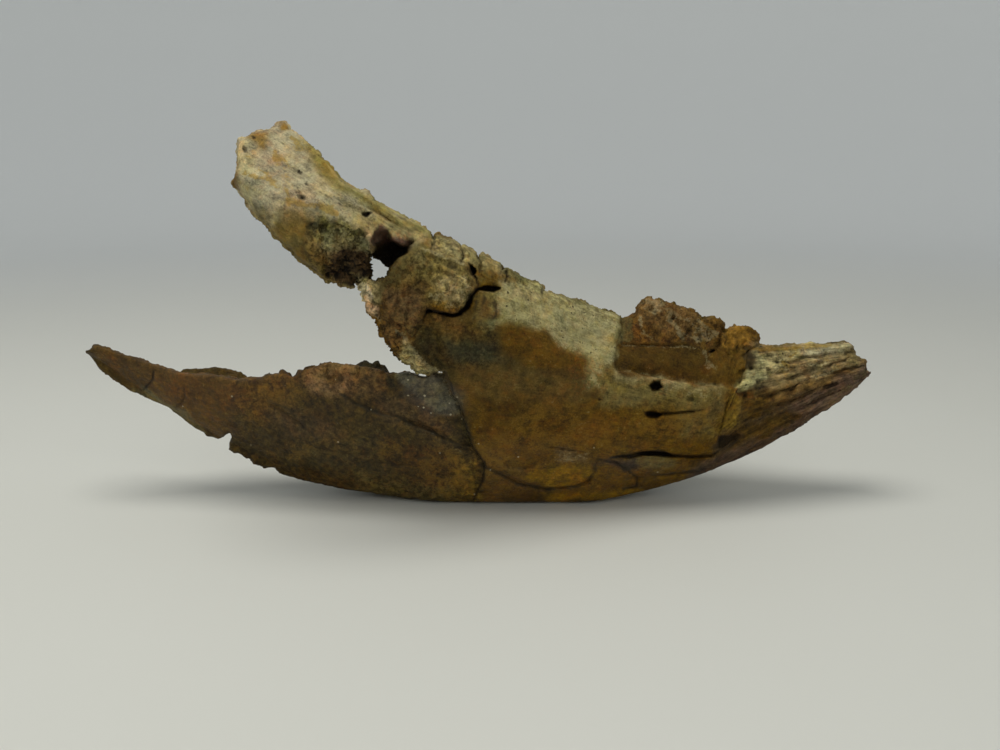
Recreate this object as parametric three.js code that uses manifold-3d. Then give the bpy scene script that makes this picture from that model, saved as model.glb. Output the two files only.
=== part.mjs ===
// Fossil beak bone (predentary) of a horned dinosaur, as one weathered and mended piece of bone.
//
// A curved, pointed beak with a hollow trough behind its tip. From the trough three walls run back:
// the near side wall, which carries a thick wing behind the cutting rim, the far side wall, whose wing
// is broken off, and the long keeled process below, a narrow trough with a low, ragged far wall.
//
// Millimetres. +X runs from the process towards the beak's tip, +Z is up and y = 0 is the bone's own
// middle plane. The near side faces -Y. The origin is the middle of the small worn flat on the keel,
// on which the bone rests.
import * as THREE from "three";
import { mergeVertices } from "three/addons/utils/BufferGeometryUtils.js";
import Module from "manifold-3d";

const wasm = await Module();
wasm.setup();

const NEAR = -1;
const FAR = 1;
const REACH = 130; // half of the width of every blank, well outside the bone
const SEAM = 1.5; // how far a side's solid passes the middle plane where the bone is not hollow
// Broken edges slant back from the outer surface, along lines from one point far out to that side.
const SLANT_FROM = { x: 10, out: 556, z: 179 };

// ---------------------------------------------------------------------------------------------
// Driving curves along the bone: [x, value] stations, joined smoothly.

function curve(stations) {
  const slope = stations
    .slice(1)
    .map(([x, v], i) => (v - stations[i][1]) / (x - stations[i][0]));
  const tangent = stations.map((_, i) => {
    if (i === 0) return slope[0];
    if (i === slope.length) return slope[i - 1];
    return slope[i - 1] * slope[i] <= 0 ? 0 : (slope[i - 1] + slope[i]) / 2;
  });
  const last = stations.length - 2;
  return (at) => {
    const x = THREE.MathUtils.clamp(at, stations[0][0], stations[last + 1][0]);
    let i = 0;
    while (i < last && x > stations[i + 1][0]) i += 1;
    const [x0, v0] = stations[i];
    const [x1, v1] = stations[i + 1];
    const h = x1 - x0;
    const t = (x - x0) / h;
    return (
      (1 + 2 * t) * (1 - t) ** 2 * v0 +
      t * (1 - t) ** 2 * h * tangent[i] +
      t * t * (3 - 2 * t) * v1 +
      t * t * (t - 1) * h * tangent[i + 1]
    );
  };
}

// The side wall's rim, its widest line: height, and half width from the middle plane.
const rimHeight = curve([[-112, 160], [-76, 153], [-43, 142], [-21, 130], [1, 116], [19, 102],
  [38, 88], [57, 76], [82, 70], [107, 65], [130, 63], [160, 63], [187, 65], [202, 67]]);
const rimWidth = curve([[-112, 83], [-76, 78], [-43, 70], [-21, 65], [1, 60], [38, 51], [57, 46],
  [82, 40], [107, 34], [130, 28], [160, 20], [187, 11], [202, 5]]);
// The keel under the beak: height, and half width of its underside.
const keelHeight = curve([[-20, 0], [51, 0], [82, 4.5], [113, 13.5], [143, 27], [164, 38.5],
  [184, 51], [202, 66]]);
const keelWidth = curve([[-20, 17], [55, 17], [82, 10], [113, 8], [143, 7], [164, 6], [184, 5],
  [202, 3]]);
// How fast the cutting surface above the rim leans inwards, in mm per mm of height.
const bevel = curve([[-112, 0.8], [-43, 0.85], [0, 0.9], [40, 0.9], [60, 0.7], [82, 0.25],
  [107, 0.2], [130, 0.35], [160, 0.55], [202, 0.5]]);
// The process below: heights of its keel and top edge, and half widths there.
const processKeel = curve([[-202, 77], [-193, 71], [-169, 53], [-134, 32], [-112, 21], [-93, 12],
  [-52, 4.5], [-15, 0], [60, 0]]);
const processTop = curve([[-202, 79], [-193, 82], [-165, 73], [-144, 69], [-117, 67], [-88, 72],
  [-65, 75], [-38, 72], [60, 72]]);
const processKeelWidth = curve([[-202, 3], [-169, 4], [-134, 6], [-93, 9], [-52, 13], [-15, 17],
  [60, 17]]);
const processTopWidth = curve([[-202, 7], [-193, 10], [-169, 14], [-144, 19], [-117, 24], [-88, 29],
  [-65, 33], [-38, 36], [-16, 38], [10, 40]]);
// The hollow: height of its floor, and thickness of the side wall at the rim.
const hollowFloor = curve([[-202, 84], [-190, 76], [-169, 62], [-134, 42], [-112, 31], [-93, 22],
  [-52, 14], [-15, 12], [20, 15], [57, 27], [82, 42], [100, 55], [118, 60]]);
const wallThickness = curve([[-112, 33], [-76, 32], [-43, 27], [-21, 22], [1, 19], [38, 18],
  [57, 20], [82, 23], [100, 26], [118, 34]]);
const THINNEST_RIM = 14;
const PROCESS_WALL = 9;

// ---------------------------------------------------------------------------------------------
// Surfaces, as half widths from the middle plane at (x, z).

const rise = (z, low, high) => THREE.MathUtils.clamp((z - low) / (high - low), 0, 1);
const bulge = (s, power) => Math.sin((s * Math.PI) / 2) ** power;
const RIM_BLEND = 3;

// Low swells of the weathered surface, none of them on the worn flat below.
function swell(x, z) {
  const along = 0.8 * Math.sin(x / 13 + 1.7 * Math.sin(z / 17));
  const across = 0.6 * Math.sin(z / 9 + 1.3 * Math.sin(x / 21));
  return (along + across) * rise(z, 4, 20);
}

function sideWall(x, z) {
  const rim = rimHeight(x);
  const low = keelWidth(x)
    + (rimWidth(x) - keelWidth(x)) * bulge(rise(z, keelHeight(x), rim), 0.8);
  const high = rimWidth(x) - bevel(x) * (z - rim);
  const t = THREE.MathUtils.clamp(0.5 + (0.5 * (high - low)) / RIM_BLEND, 0, 1);
  return high * (1 - t) + low * t - RIM_BLEND * t * (1 - t) + swell(x, z);
}

function processWall(x, z) {
  const s = rise(z, processKeel(x), processTop(x));
  const spread = processTopWidth(x) - processKeelWidth(x);
  return processKeelWidth(x) + spread * bulge(s, 0.8) + 0.6 * swell(x, z);
}

function sideHollow(x, z) {
  const rim = rimHeight(x);
  const above = Math.max(0, z - rim);
  const widest = rimWidth(x) - Math.max(wallThickness(x), THINNEST_RIM + bevel(x) * above);
  return Math.max(0, widest) * bulge(rise(z, hollowFloor(x), rim), 0.7);
}

function processHollow(x, z) {
  const s = rise(z, hollowFloor(x), processTop(x));
  return Math.max(0, processTopWidth(x) - PROCESS_WALL) * bulge(s, 0.7);
}

// ---------------------------------------------------------------------------------------------
// Outlines in the side view, [x, z].

const WING_UNDERSIDE = [[-104.5, 164], [-101.5, 160], [-99, 157], [-96.5, 152.5], [-90.5, 146],
  [-88, 143.5], [-87.5, 142], [-81.5, 136], [-79.5, 134.5], [-79, 132.5], [-73, 128], [-66, 122],
  [-62.5, 121.5], [-56, 119.5], [-54.5, 121], [-54, 123.5], [-51.5, 122.5]];
const BROKEN_BACK_EDGE = [[-53, 119.5], [-51.5, 113.5], [-49.5, 111], [-49, 107], [-45.5, 104.5],
  [-44, 100.5], [-44, 96], [-41.5, 94], [-39, 89], [-36, 84.5], [-31.5, 81.5], [-27, 77.5],
  [-22.5, 77], [-18.5, 78], [-15.5, 77.5]];
const SUTURE = [[-14.5, 73.5], [-12.5, 67], [-8.5, 59.5], [-6.5, 49], [-3.5, 38], [2.5, 27],
  [1.5, 16.5], [-2.5, 6.5], [-4.5, 0]];
const BEAK_UNDERSIDE = [[48, 0], [61, 1], [72, 2], [82.5, 3], [93, 5], [103.5, 8], [113.5, 12],
  [124, 17], [134, 21], [144.5, 26], [154.5, 31.5], [164.5, 37.5], [175, 43.5], [185, 50.5],
  [195, 59.5], [200, 66]];
const BEAK_TIP = [[196.5, 67.5], [196, 72], [192, 75], [191.5, 77.5], [189.5, 81], [186.5, 83],
  [182.5, 82], [175, 81], [168, 82], [153, 81.5], [145, 82], [139.5, 82.5]];
const LEDGE = [[132.5, 80], [131, 74], [129, 68], [127, 64], [117.5, 65], [107.5, 65.5], [97, 68],
  [87, 70], [77, 72.5], [65.5, 74.5], [65, 79.5], [66, 86], [69, 93], [68.5, 98.5]];
// The cutting edge, from front to back, with the small notches of its cross cracks.
const CUTTING_EDGE = [[63.5, 100.5], [58.5, 102], [51.5, 105], [44, 107.5], [34, 111], [29.5, 112],
  [30.5, 114], [29, 115], [23, 118], [17, 121.5], [12.5, 124], [11, 123], [10, 125.5], [5.5, 129],
  [1, 131], [0, 129], [-1, 132], [-4, 133.5], [-7, 135], [-8, 133], [-9, 136], [-13, 138.5],
  [-19, 140.5], [-20.5, 138.5], [-21.5, 141.5], [-26, 145], [-35, 149.5], [-43.5, 154],
  [-46, 155.5], [-47.5, 157.5], [-49, 160], [-53, 160], [-54.5, 161], [-60.5, 165], [-67, 172.5],
  [-70.5, 176.5], [-77, 182], [-81, 185], [-84.5, 186.5], [-84.5, 188.5], [-86.5, 190.5],
  [-89.5, 190], [-90, 188], [-96, 186], [-102, 183], [-104.5, 182.5], [-103, 171]];
const NEAR_SIDE = [...WING_UNDERSIDE, ...BROKEN_BACK_EDGE, ...SUTURE, ...BEAK_UNDERSIDE, ...BEAK_TIP,
  ...LEDGE, ...CUTTING_EDGE];

// The upstanding slab of the rim behind the ledge, with its crumbled top edge.
const SLAB = [[63, 78], [64, 87.5], [66, 97.5], [71, 98.5], [75, 100.5], [76.5, 103.5], [78.5, 107],
  [81, 108.5], [83.5, 107], [87.5, 106.5], [92.5, 105], [97.5, 103], [102.5, 102], [106.5, 99.5],
  [107, 96.5], [109.5, 97], [113, 97.5], [117.5, 96.5], [119.5, 94.5], [118.5, 91], [119.5, 90.5],
  [123, 92], [128.5, 92], [134, 91], [137.5, 89], [139, 86.5], [138, 83.5], [141.5, 81.5],
  [137.5, 75], [133, 61], [118.5, 58], [98, 60], [77.5, 65], [63.5, 69.5]];
const CAP = [[-45, 117.5], [-42, 125], [-36.5, 129], [-32, 133.5], [-28.5, 137], [-23.5, 135.5],
  [-17, 133], [-11.5, 130.5], [-7, 128], [-3.5, 125.5], [0, 121], [1, 118], [-1, 115.5],
  [-2.5, 112.5], [-4.5, 109], [-7.5, 105], [-12.5, 105], [-18, 105.5], [-22.5, 107],
  [-24.5, 102.5], [-26.5, 97.5], [-30, 94], [-33, 98], [-37.5, 101.5], [-41.5, 106.5],
  [-44.5, 112]];
const WINDOW = [[-47, 132], [-44.5, 130], [-42.5, 128], [-39.5, 125.5], [-42, 123.5], [-45, 121.5],
  [-48, 122], [-46, 124.5], [-46, 126.5], [-47, 129.5]];

const PROCESS_UNDERSIDE = [[-201, 77.5], [-196.5, 70.5], [-193.5, 65], [-185.5, 60], [-182, 56.5],
  [-177, 55], [-170, 51.5], [-160, 47.5], [-157.5, 45], [-154, 42.5], [-150, 39], [-147, 36.5],
  [-143.5, 35], [-141.5, 32.5], [-139, 32.5], [-136, 31], [-133.5, 32], [-129.5, 36], [-127, 36.5],
  [-127.5, 33], [-130, 29.5], [-130, 25.5], [-127.5, 24], [-124.5, 23.5], [-122.5, 21.5],
  [-119.5, 21], [-116, 17], [-106.5, 16.5], [-104, 13.5], [-99, 12], [-93.5, 10.5], [-83, 8.5],
  [-72.5, 6.5], [-62.5, 5], [-52, 4], [-41.5, 2.5], [-31, 1.5], [-20.5, 0.5], [-12, 0]];
const PROCESS_UNDER_BEAK = [[12, 0], [12, 21.5], [4, 38], [-3, 62], [-9, 72]];
const PROCESS_TOP_EDGE = [[-21, 72], [-27, 70.5], [-32, 72.5], [-36, 73], [-39, 72], [-44.5, 72],
  [-46, 73.5], [-50.5, 74], [-59, 75.5], [-65, 75.5], [-71, 76.5], [-76.5, 76], [-82.5, 73],
  [-88.5, 72], [-90, 69.5], [-91.5, 68.5], [-94.5, 70.5], [-97, 72], [-98.5, 70], [-104.5, 70],
  [-107, 68], [-118.5, 66.5], [-124.5, 67.5], [-144.5, 68.5], [-150, 69], [-157.5, 71],
  [-164.5, 72.5], [-170.5, 75], [-178.5, 77], [-186.5, 79.5], [-194.5, 81.5], [-195.5, 79.5]];
const NEAR_PROCESS = [...PROCESS_UNDERSIDE, ...PROCESS_UNDER_BEAK, ...PROCESS_TOP_EDGE];

// The far side: its wing is gone, and its walls end in low, ragged breaks.
const FAR_SIDE = [[-4, 0], ...BEAK_UNDERSIDE, [196.5, 67.5], [195, 71], [191, 75], [188, 78],
  [181, 78.5], [172, 77], [160, 77.5], [148, 76], [139, 78], [131, 80], [122, 83], [112, 82],
  [103, 85], [95, 84], [88, 82], [80, 81], [72, 80], [65, 83], [57, 88], [50, 91], [43, 92],
  [36, 97], [29, 102], [22, 104], [15, 109], [8, 112], [1, 112], [-4, 109], [-9, 103], [-13, 96],
  [-10, 88], [-14, 80], [-11, 70], [-8, 55], [-10, 40], [-6, 26], [-8, 12]];
const FAR_PROCESS = [...PROCESS_UNDERSIDE, [12, 0], [12, 21.5], [4, 38], [-6, 52], [-12, 54],
  [-20, 51], [-28, 53], [-36, 51], [-44, 53], [-50, 58], [-52.5, 62.5], [-55, 63], [-57, 66.5],
  [-60, 64.5], [-62.5, 66.5], [-65.5, 66], [-71, 62.5], [-76, 57], [-82, 54], [-90, 55],
  [-98, 53], [-104, 54], [-110, 52], [-118, 54], [-124, 58], [-128, 61], [-134, 63],
  [-141, 64.5], [-151, 64], [-157, 64.5], [-159, 61], [-166, 61], [-175, 65], [-186, 73],
  [-194, 77]];

// Cracks and grooves as centre lines, each with its width.
const CAP_CRACK = [[-26.5, 97.5], [-24.5, 102.5], [-23, 106.5], [-17, 104.5], [-8, 104],
  [-4.5, 108.5], [-2, 112.5], [1, 116.5], [5.5, 116], [9.5, 116]];
const DEEP_CUTS = [
  { line: CAP_CRACK, width: 2.2 },
  { line: [[-4.5, 127.5], [-2.5, 125], [-1.5, 122]], width: 3.5 },
  { line: [[81.5, 66.5], [85.5, 66], [89.5, 66]], width: 5 },
  { line: [[64, 30.5], [71.5, 32.5], [79, 34], [89, 34], [95.5, 32.5], [102.5, 30.5], [110.5, 30.5],
    [118.5, 31.5]], width: 2.4 },
  { line: [[119, 31], [122, 36], [128, 38], [136, 38.5]], width: 6 },
  { line: [[118, 91], [117, 86.5], [114.5, 82.5], [111.5, 81.5]], width: 1.8 },
];
const SHALLOW_CUTS = [
  { line: [[79, 52.5], [82.5, 53.5], [90, 53], [100, 53.5], [109.5, 52.5]], width: 2.6 },
  { line: [[101.5, 59], [105.5, 59]], width: 3.5 },
  { line: [[126.5, 63], [124.5, 60.5], [121.5, 55], [120.5, 49.5], [119, 42.5]], width: 1.2 },
  { line: [[30, 40], [39, 36.5], [46.5, 34.5], [55, 32.5]], width: 1.4 },
  { line: [[2.5, 27], [10, 20.5], [20, 12.5], [25, 9.5], [32.5, 9.5], [40, 10], [50, 12.5],
    [54.5, 17.5], [57, 24.5]], width: 2.2 },
  { line: [[139.5, 57], [146.5, 60], [154.5, 61.5]], width: 3 },
  { line: [[145.5, 53], [152.5, 54.5], [160, 56.5], [168, 59.5]], width: 2.4 },
  { line: [[156, 49], [163.5, 52], [174, 56], [185, 59.5]], width: 2 },
  { line: [[149, 66], [160, 67], [168.5, 69]], width: 2 },
  { line: [[172, 69.5], [181.5, 72.5], [189.5, 74.5]], width: 2 },
  { line: [[130.5, 59.5], [135, 60]], width: 3 },
];
const PROCESS_CUTS = [
  { line: [[-164.5, 71.5], [-165, 64], [-168.5, 61], [-174, 55.5]], width: 1.2 },
  { line: [[-149.5, 58], [-152.5, 52.5], [-156, 48.5]], width: 1.2 },
  { line: [[-106.5, 57.5], [-99, 55], [-89, 50.5], [-74, 47], [-60, 52], [-39, 46.5], [-29, 43.5],
    [-14, 38.5]], width: 3 },
];
const HOLLOW_UNDER_RIM = [[-48, 141], [-44.5, 143.5], [-38, 142], [-34.5, 139.5], [-30.5, 137.5],
  [-32.5, 132.5], [-36, 129], [-38.5, 124.5], [-43.5, 129], [-47.5, 131], [-49, 136]];
const BROKEN_END = [[-69, 146.5], [-64, 149], [-57.5, 147], [-51.5, 145], [-47, 141.5], [-48, 136],
  [-45.5, 132], [-44.5, 125], [-47, 121], [-53, 117.5], [-58, 117], [-64, 118.5], [-69, 124],
  [-70.5, 135]];

// ---------------------------------------------------------------------------------------------
// Solids.

const OUTER_STEP = 7.6; // cells along x of the near side's outer surface
const FAR_STEP = 11; // cells along x of the far side's outer surface
const INNER_STEP = 14; // cells along x inside the hollow
const CUT_STEP = 26; // cells along x on the floors of cuts
const MARGIN = 9; // how far a grid reaches past its outline

function closedSolid(positions, faces) {
  const geometry = new THREE.BufferGeometry();
  geometry.setAttribute("position", new THREE.Float32BufferAttribute(positions, 3));
  geometry.setIndex(faces);
  const merged = mergeVertices(geometry, 1e-3);
  return new wasm.Manifold(
    new wasm.Mesh({
      numProp: 3,
      vertProperties: merged.attributes.position.array,
      triVerts: new Uint32Array(merged.index.array),
    }),
  );
}

function toGeometry(solid) {
  const mesh = solid.getMesh();
  const geometry = new THREE.BufferGeometry();
  geometry.setAttribute("position", new THREE.BufferAttribute(mesh.vertProperties, 3));
  geometry.setIndex(new THREE.BufferAttribute(mesh.triVerts, 1));
  geometry.computeVertexNormals();
  return geometry;
}

// An outline on a side's surface as a blank, its edges slanting back to the middle plane.
function blank(outline, side, surface) {
  const contour = outline.map(([x, z]) => new THREE.Vector2(x, z));
  if (THREE.ShapeUtils.isClockWise(contour)) contour.reverse();
  const positions = [REACH, -SEAM].flatMap((out) =>
    contour.flatMap(({ x, y: z }) => {
      const scale = (SLANT_FROM.out - out) / (SLANT_FROM.out - surface(x, z));
      return [
        SLANT_FROM.x + (x - SLANT_FROM.x) * scale,
        side * out,
        SLANT_FROM.z + (z - SLANT_FROM.z) * scale,
      ];
    }),
  );
  const count = contour.length;
  const caps = THREE.ShapeUtils.triangulateShape(contour, []);
  const faces = caps.flatMap(([a, b, c]) => [a, b, c, a + count, c + count, b + count]);
  for (let i = 0; i < count; i += 1) {
    const j = (i + 1) % count;
    faces.push(i, i + count, j + count, i, j + count, j);
  }
  return closedSolid(positions, side === NEAR ? faces : faces.reverse());
}

// Points [x, z] in rows that follow the bone: each level is a height along x, and the number of
// rows that lead up to it from the level below.
function gridAlong(outline, step, levels) {
  const xs = outline.map(([x]) => x);
  const start = Math.min(...xs) - MARGIN;
  const columns = Math.ceil((Math.max(...xs) + MARGIN - start) / step);
  const rows = [];
  levels.forEach(({ height, rows: count }, k) => {
    for (let j = 1; j <= count; j += 1)
      rows.push(
        Array.from({ length: columns + 1 }, (_, i) => {
          const x = start + i * step;
          const below = k === 0 ? height(x) : levels[k - 1].height(x);
          return [x, THREE.MathUtils.lerp(below, height(x), j / count)];
        }),
      );
  });
  return rows;
}

// A closed block over a grid, from the half width at each of its points to a flat end.
function reliefBlock(grid, side, halfWidth, flat) {
  const rows = grid.length;
  const columns = grid[0].length;
  const points = grid.flat();
  const positions = [
    ...points.flatMap(([x, z]) => [x, side * halfWidth(x, z), z]),
    ...points.flatMap(([x, z]) => [x, side * flat, z]),
  ];
  const id = (i, j, layer) => (layer * rows + j) * columns + i;
  const faces = [];
  const quad = (a, b, c, d) => faces.push(a, b, d, b, c, d);
  for (let j = 1; j < rows; j += 1) {
    for (let i = 1; i < columns; i += 1) {
      quad(id(i - 1, j - 1, 0), id(i, j - 1, 0), id(i, j, 0), id(i - 1, j, 0));
      quad(id(i - 1, j - 1, 1), id(i - 1, j, 1), id(i, j, 1), id(i, j - 1, 1));
    }
    const end = columns - 1;
    quad(id(0, j - 1, 0), id(0, j, 0), id(0, j, 1), id(0, j - 1, 1));
    quad(id(end, j - 1, 0), id(end, j - 1, 1), id(end, j, 1), id(end, j, 0));
  }
  for (let i = 1; i < columns; i += 1) {
    const top = rows - 1;
    quad(id(i - 1, 0, 0), id(i - 1, 0, 1), id(i, 0, 1), id(i, 0, 0));
    quad(id(i - 1, top, 0), id(i, top, 0), id(i, top, 1), id(i - 1, top, 1));
  }
  const outwards = (side === NEAR) === (flat < 0);
  return closedSolid(positions, outwards ? faces : faces.reverse());
}

// A wall of bone: its outline, cut to its outer surface and to its surface inside the hollow.
function wall({ outline, side, skin, outer, outerRows, inner, innerRows, step }) {
  const outside = reliefBlock(gridAlong(outline, step, outerRows), side, outer, -REACH);
  const inside = reliefBlock(
    gridAlong(outline, INNER_STEP, innerRows),
    side,
    (x, z) => inner(x, z) - SEAM,
    REACH,
  );
  return blank(outline, side, skin).intersect(outside).intersect(inside);
}

// The closed outline of a crack: its centre line widened, and narrowed again towards its ends.
function crackOutline({ line, width }) {
  const last = line.length - 1;
  const edge = (sign) =>
    line.map(([x, z], i) => {
      const [ax, az] = line[Math.max(0, i - 1)];
      const [bx, bz] = line[Math.min(last, i + 1)];
      const length = Math.hypot(bx - ax, bz - az);
      const taper = 0.35 + 0.65 * Math.sin((Math.PI * (i + 0.5)) / (last + 1));
      const offset = (sign * width * taper) / 2 / length;
      return [x - (bz - az) * offset, z + (bx - ax) * offset];
    });
  return [...edge(-1), ...edge(1).reverse()];
}

// What a crack or a broken-out area removes: its outline, down to a depth under the near surface.
function nearCut(outline, { skin, outer }, rows, depth) {
  const grid = gridAlong(outline, CUT_STEP, rows);
  const floor = reliefBlock(grid, NEAR, (x, z) => outer(x, z) - depth, REACH);
  return blank(outline, NEAR, skin).intersect(floor);
}

// How far the outer surface falls back at a broken or rounded edge with that radius.
function roundedAway(edge, radius) {
  return (x, z) => {
    let gap = radius;
    for (let i = 1; i < edge.length; i += 1) {
      const a = new THREE.Vector3(...edge[i - 1], 0);
      const b = new THREE.Vector3(...edge[i], 0);
      const nearest = new THREE.Line3(a, b).closestPointToPoint(
        new THREE.Vector3(x, z, 0),
        true,
        new THREE.Vector3(),
      );
      gap = Math.min(gap, Math.hypot(nearest.x - x, nearest.y - z));
    }
    return radius - Math.sqrt(radius ** 2 - (radius - gap) ** 2);
  };
}

const wingFall = roundedAway(WING_UNDERSIDE, 15);
const backFall = roundedAway(BROKEN_BACK_EDGE, 11);
const nearSurface = (x, z) => sideWall(x, z) - wingFall(x, z) - backFall(x, z);

// The mended cap fragment stands higher towards its lower front edge.
const CAP_RAISE = 3.6;
const CAP_ROOT = 8;
const capSurface = (x, z) => nearSurface(x, z) + 0.8 + CAP_RAISE * rise(x - z, -165, -110);
const SLAB_SETBACK = 4.5;
const slabSurface = (x, z) => sideWall(x, z) - SLAB_SETBACK;

// Rows of the surfaces' grids: they follow the keel, the rim, the process and the hollow's floor.
const above = (height, by) => (x) => height(x) + by;
const sideRows = (toRim, overRim) => [
  { height: keelHeight, rows: 1 },
  { height: rimHeight, rows: toRim },
  { height: above(rimHeight, 48), rows: overRim },
];
const processRows = (count) => [
  { height: (x) => Math.max(0, processKeel(x) - 7), rows: 1 },
  { height: processKeel, rows: 1 },
  { height: above(processTop, 8), rows: count },
];
const sideHollowRows = [
  { height: above(hollowFloor, -90), rows: 1 },
  { height: hollowFloor, rows: 1 },
  { height: rimHeight, rows: 5 },
  { height: above(rimHeight, 50), rows: 2 },
];
const processHollowRows = [
  { height: above(hollowFloor, -90), rows: 1 },
  { height: hollowFloor, rows: 1 },
  { height: above(processTop, 10), rows: 4 },
];

const nearWall = {
  side: NEAR,
  skin: sideWall,
  outer: nearSurface,
  outerRows: sideRows(12, 5),
  inner: sideHollow,
  innerRows: sideHollowRows,
  step: OUTER_STEP,
};
const farWall = { ...nearWall, side: FAR, outer: sideWall, outerRows: sideRows(7, 3), step: FAR_STEP };
const processHalf = {
  side: NEAR,
  skin: processWall,
  outer: processWall,
  outerRows: processRows(7),
  inner: processHollow,
  innerRows: processHollowRows,
  step: OUTER_STEP,
};

function beak() {
  const walls = [
    { ...nearWall, outline: NEAR_SIDE },
    { ...nearWall, outline: SLAB, outer: slabSurface },
    { ...nearWall, outline: CAP, outer: capSurface, inner: (x, z) => nearSurface(x, z) - CAP_ROOT },
    { ...processHalf, outline: NEAR_PROCESS },
    { ...farWall, outline: FAR_SIDE },
    { ...processHalf, outline: FAR_PROCESS, side: FAR, outerRows: processRows(4), step: FAR_STEP },
  ].map(wall);
  const whole = walls.reduce((joined, next) => joined.add(next));

  const side = (outline, depth) => nearCut(outline, nearWall, sideRows(5, 2), depth);
  return [
    ...DEEP_CUTS.map((crack) => side(crackOutline(crack), 7)),
    ...SHALLOW_CUTS.map((crack) => side(crackOutline(crack), 2.6)),
    ...PROCESS_CUTS.map((crack) => nearCut(crackOutline(crack), processHalf, processRows(4), 2)),
    side(BROKEN_END, 3.5),
    side(HOLLOW_UNDER_RIM, 18),
    blank(WINDOW, NEAR, sideWall),
  ].reduce((left, cut) => left.subtract(cut), whole);
}

const bone = new THREE.Mesh(
  toGeometry(beak()),
  new THREE.MeshStandardMaterial({ color: 0x7a6240, roughness: 0.75, metalness: 0 }),
);
bone.name = "beak_bone";

const part = new THREE.Group();
part.add(bone);

export default part;
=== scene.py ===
"""The look of a fossil beak bone: one weathered, mended bone on a pale floor.

The bone's surface is a field in millimetres, in the CAD model's own frame: plates with an outline
in the side view, an outer surface and a surface inside the hollow. Everything is worked out on a
side-view grid (u, v) whose lines all come from one point far out to each side, so that broken
edges slant back the way the CAD model's do. The field becomes one mesh, which replaces the CAD
solid and carries masks for its colours.
"""

import math

import bpy
import numpy as np
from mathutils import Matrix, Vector


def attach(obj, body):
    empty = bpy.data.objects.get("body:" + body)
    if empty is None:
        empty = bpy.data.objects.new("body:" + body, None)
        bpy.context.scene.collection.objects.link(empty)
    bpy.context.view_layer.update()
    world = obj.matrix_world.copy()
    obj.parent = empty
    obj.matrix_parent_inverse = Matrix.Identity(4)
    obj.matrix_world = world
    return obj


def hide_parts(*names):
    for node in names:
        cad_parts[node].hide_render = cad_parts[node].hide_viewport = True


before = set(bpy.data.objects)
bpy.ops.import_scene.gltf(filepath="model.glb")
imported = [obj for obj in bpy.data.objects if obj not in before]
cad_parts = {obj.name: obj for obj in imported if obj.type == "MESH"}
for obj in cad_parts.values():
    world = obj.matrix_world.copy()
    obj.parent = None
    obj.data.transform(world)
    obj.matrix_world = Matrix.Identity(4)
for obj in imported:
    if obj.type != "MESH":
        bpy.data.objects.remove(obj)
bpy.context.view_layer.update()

MM = 0.001
CELL = 0.8  # spacing of the grid, mm
EYE_X, EYE_OUT, EYE_Z = 10.0, 556.0, 179.0  # where the grid's lines come from, mm
TRIANGLES = 190_000  # what the finished mesh may have

# ---------------------------------------------------------------------------------------------
# Driving curves along the bone, mm


def curve(*stations):
    """A smooth curve through (x, value) stations, held at its ends."""
    xs, values = np.array(stations, float).T
    slope = np.diff(values) / np.diff(xs)
    middle = np.where(slope[:-1] * slope[1:] <= 0, 0, (slope[:-1] + slope[1:]) / 2)
    tangent = np.concatenate([slope[:1], middle, slope[-1:]])

    def at(x):
        x = np.clip(x, xs[0], xs[-1])
        i = np.clip(np.searchsorted(xs, x) - 1, 0, len(slope) - 1)
        h = xs[i + 1] - xs[i]
        t = (x - xs[i]) / h
        return (
            (1 + 2 * t) * (1 - t) ** 2 * values[i]
            + t * (1 - t) ** 2 * h * tangent[i]
            + t * t * (3 - 2 * t) * values[i + 1]
            + t * t * (t - 1) * h * tangent[i + 1]
        )

    return at


rim_height = curve(
    (-112, 160), (-76, 153), (-43, 142), (-21, 130), (1, 116), (19, 102), (38, 88), (57, 76), (82, 70),
    (107, 65), (130, 63), (160, 63), (187, 65), (202, 67),
)
rim_width = curve(
    (-112, 83), (-76, 78), (-43, 70), (-21, 65), (1, 60), (38, 51), (57, 46), (82, 40), (107, 34),
    (130, 28), (160, 20), (187, 11), (202, 5),
)
keel_height = curve(
    (-20, 0), (51, 0), (66, 1), (82, 3), (100, 7.5), (113, 11.5), (143, 24.5), (164, 37), (184, 51),
    (202, 66),
)
keel_width = curve((-20, 17), (55, 17), (82, 10), (113, 8), (143, 7), (164, 6), (184, 5), (202, 3))
bevel = curve(
    (-112, 0.8), (-43, 0.85), (0, 0.9), (40, 0.9), (60, 0.7), (82, 0.25), (107, 0.2), (130, 0.35),
    (160, 0.55), (202, 0.5),
)
process_keel = curve(
    (-202, 77), (-193, 71), (-169, 53), (-134, 32), (-112, 21), (-93, 12), (-52, 4.5), (-15, 0), (60, 0),
)
process_top = curve(
    (-202, 79), (-193, 82), (-165, 73), (-144, 69), (-117, 67), (-88, 72), (-65, 75), (-38, 72), (60, 72),
)
process_keel_width = curve((-202, 3), (-169, 4), (-134, 6), (-93, 9), (-52, 13), (-15, 17), (60, 17))
process_top_width = curve(
    (-202, 7), (-193, 10), (-169, 14), (-144, 19), (-117, 24), (-88, 29), (-65, 33), (-38, 36), (-16, 38),
    (10, 40),
)
hollow_floor = curve(
    (-202, 84), (-190, 76), (-169, 62), (-134, 42), (-112, 31), (-93, 22), (-52, 14), (-15, 12), (20, 15),
    (57, 27), (82, 42), (100, 55), (118, 60),
)
wall_thickness = curve(
    (-112, 33), (-76, 32), (-43, 27), (-21, 22), (1, 19), (38, 18), (57, 20), (82, 23), (100, 26),
    (118, 34),
)
rim_blend = curve((-112, 5), (-60, 5), (-10, 8), (60, 12), (90, 5), (202, 4))
THINNEST_RIM = 14
PROCESS_WALL = 9
PROCESS_FLOOR_DROP = 7  # how far below its keel line the process may reach
TAIL_FACET = 5
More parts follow.
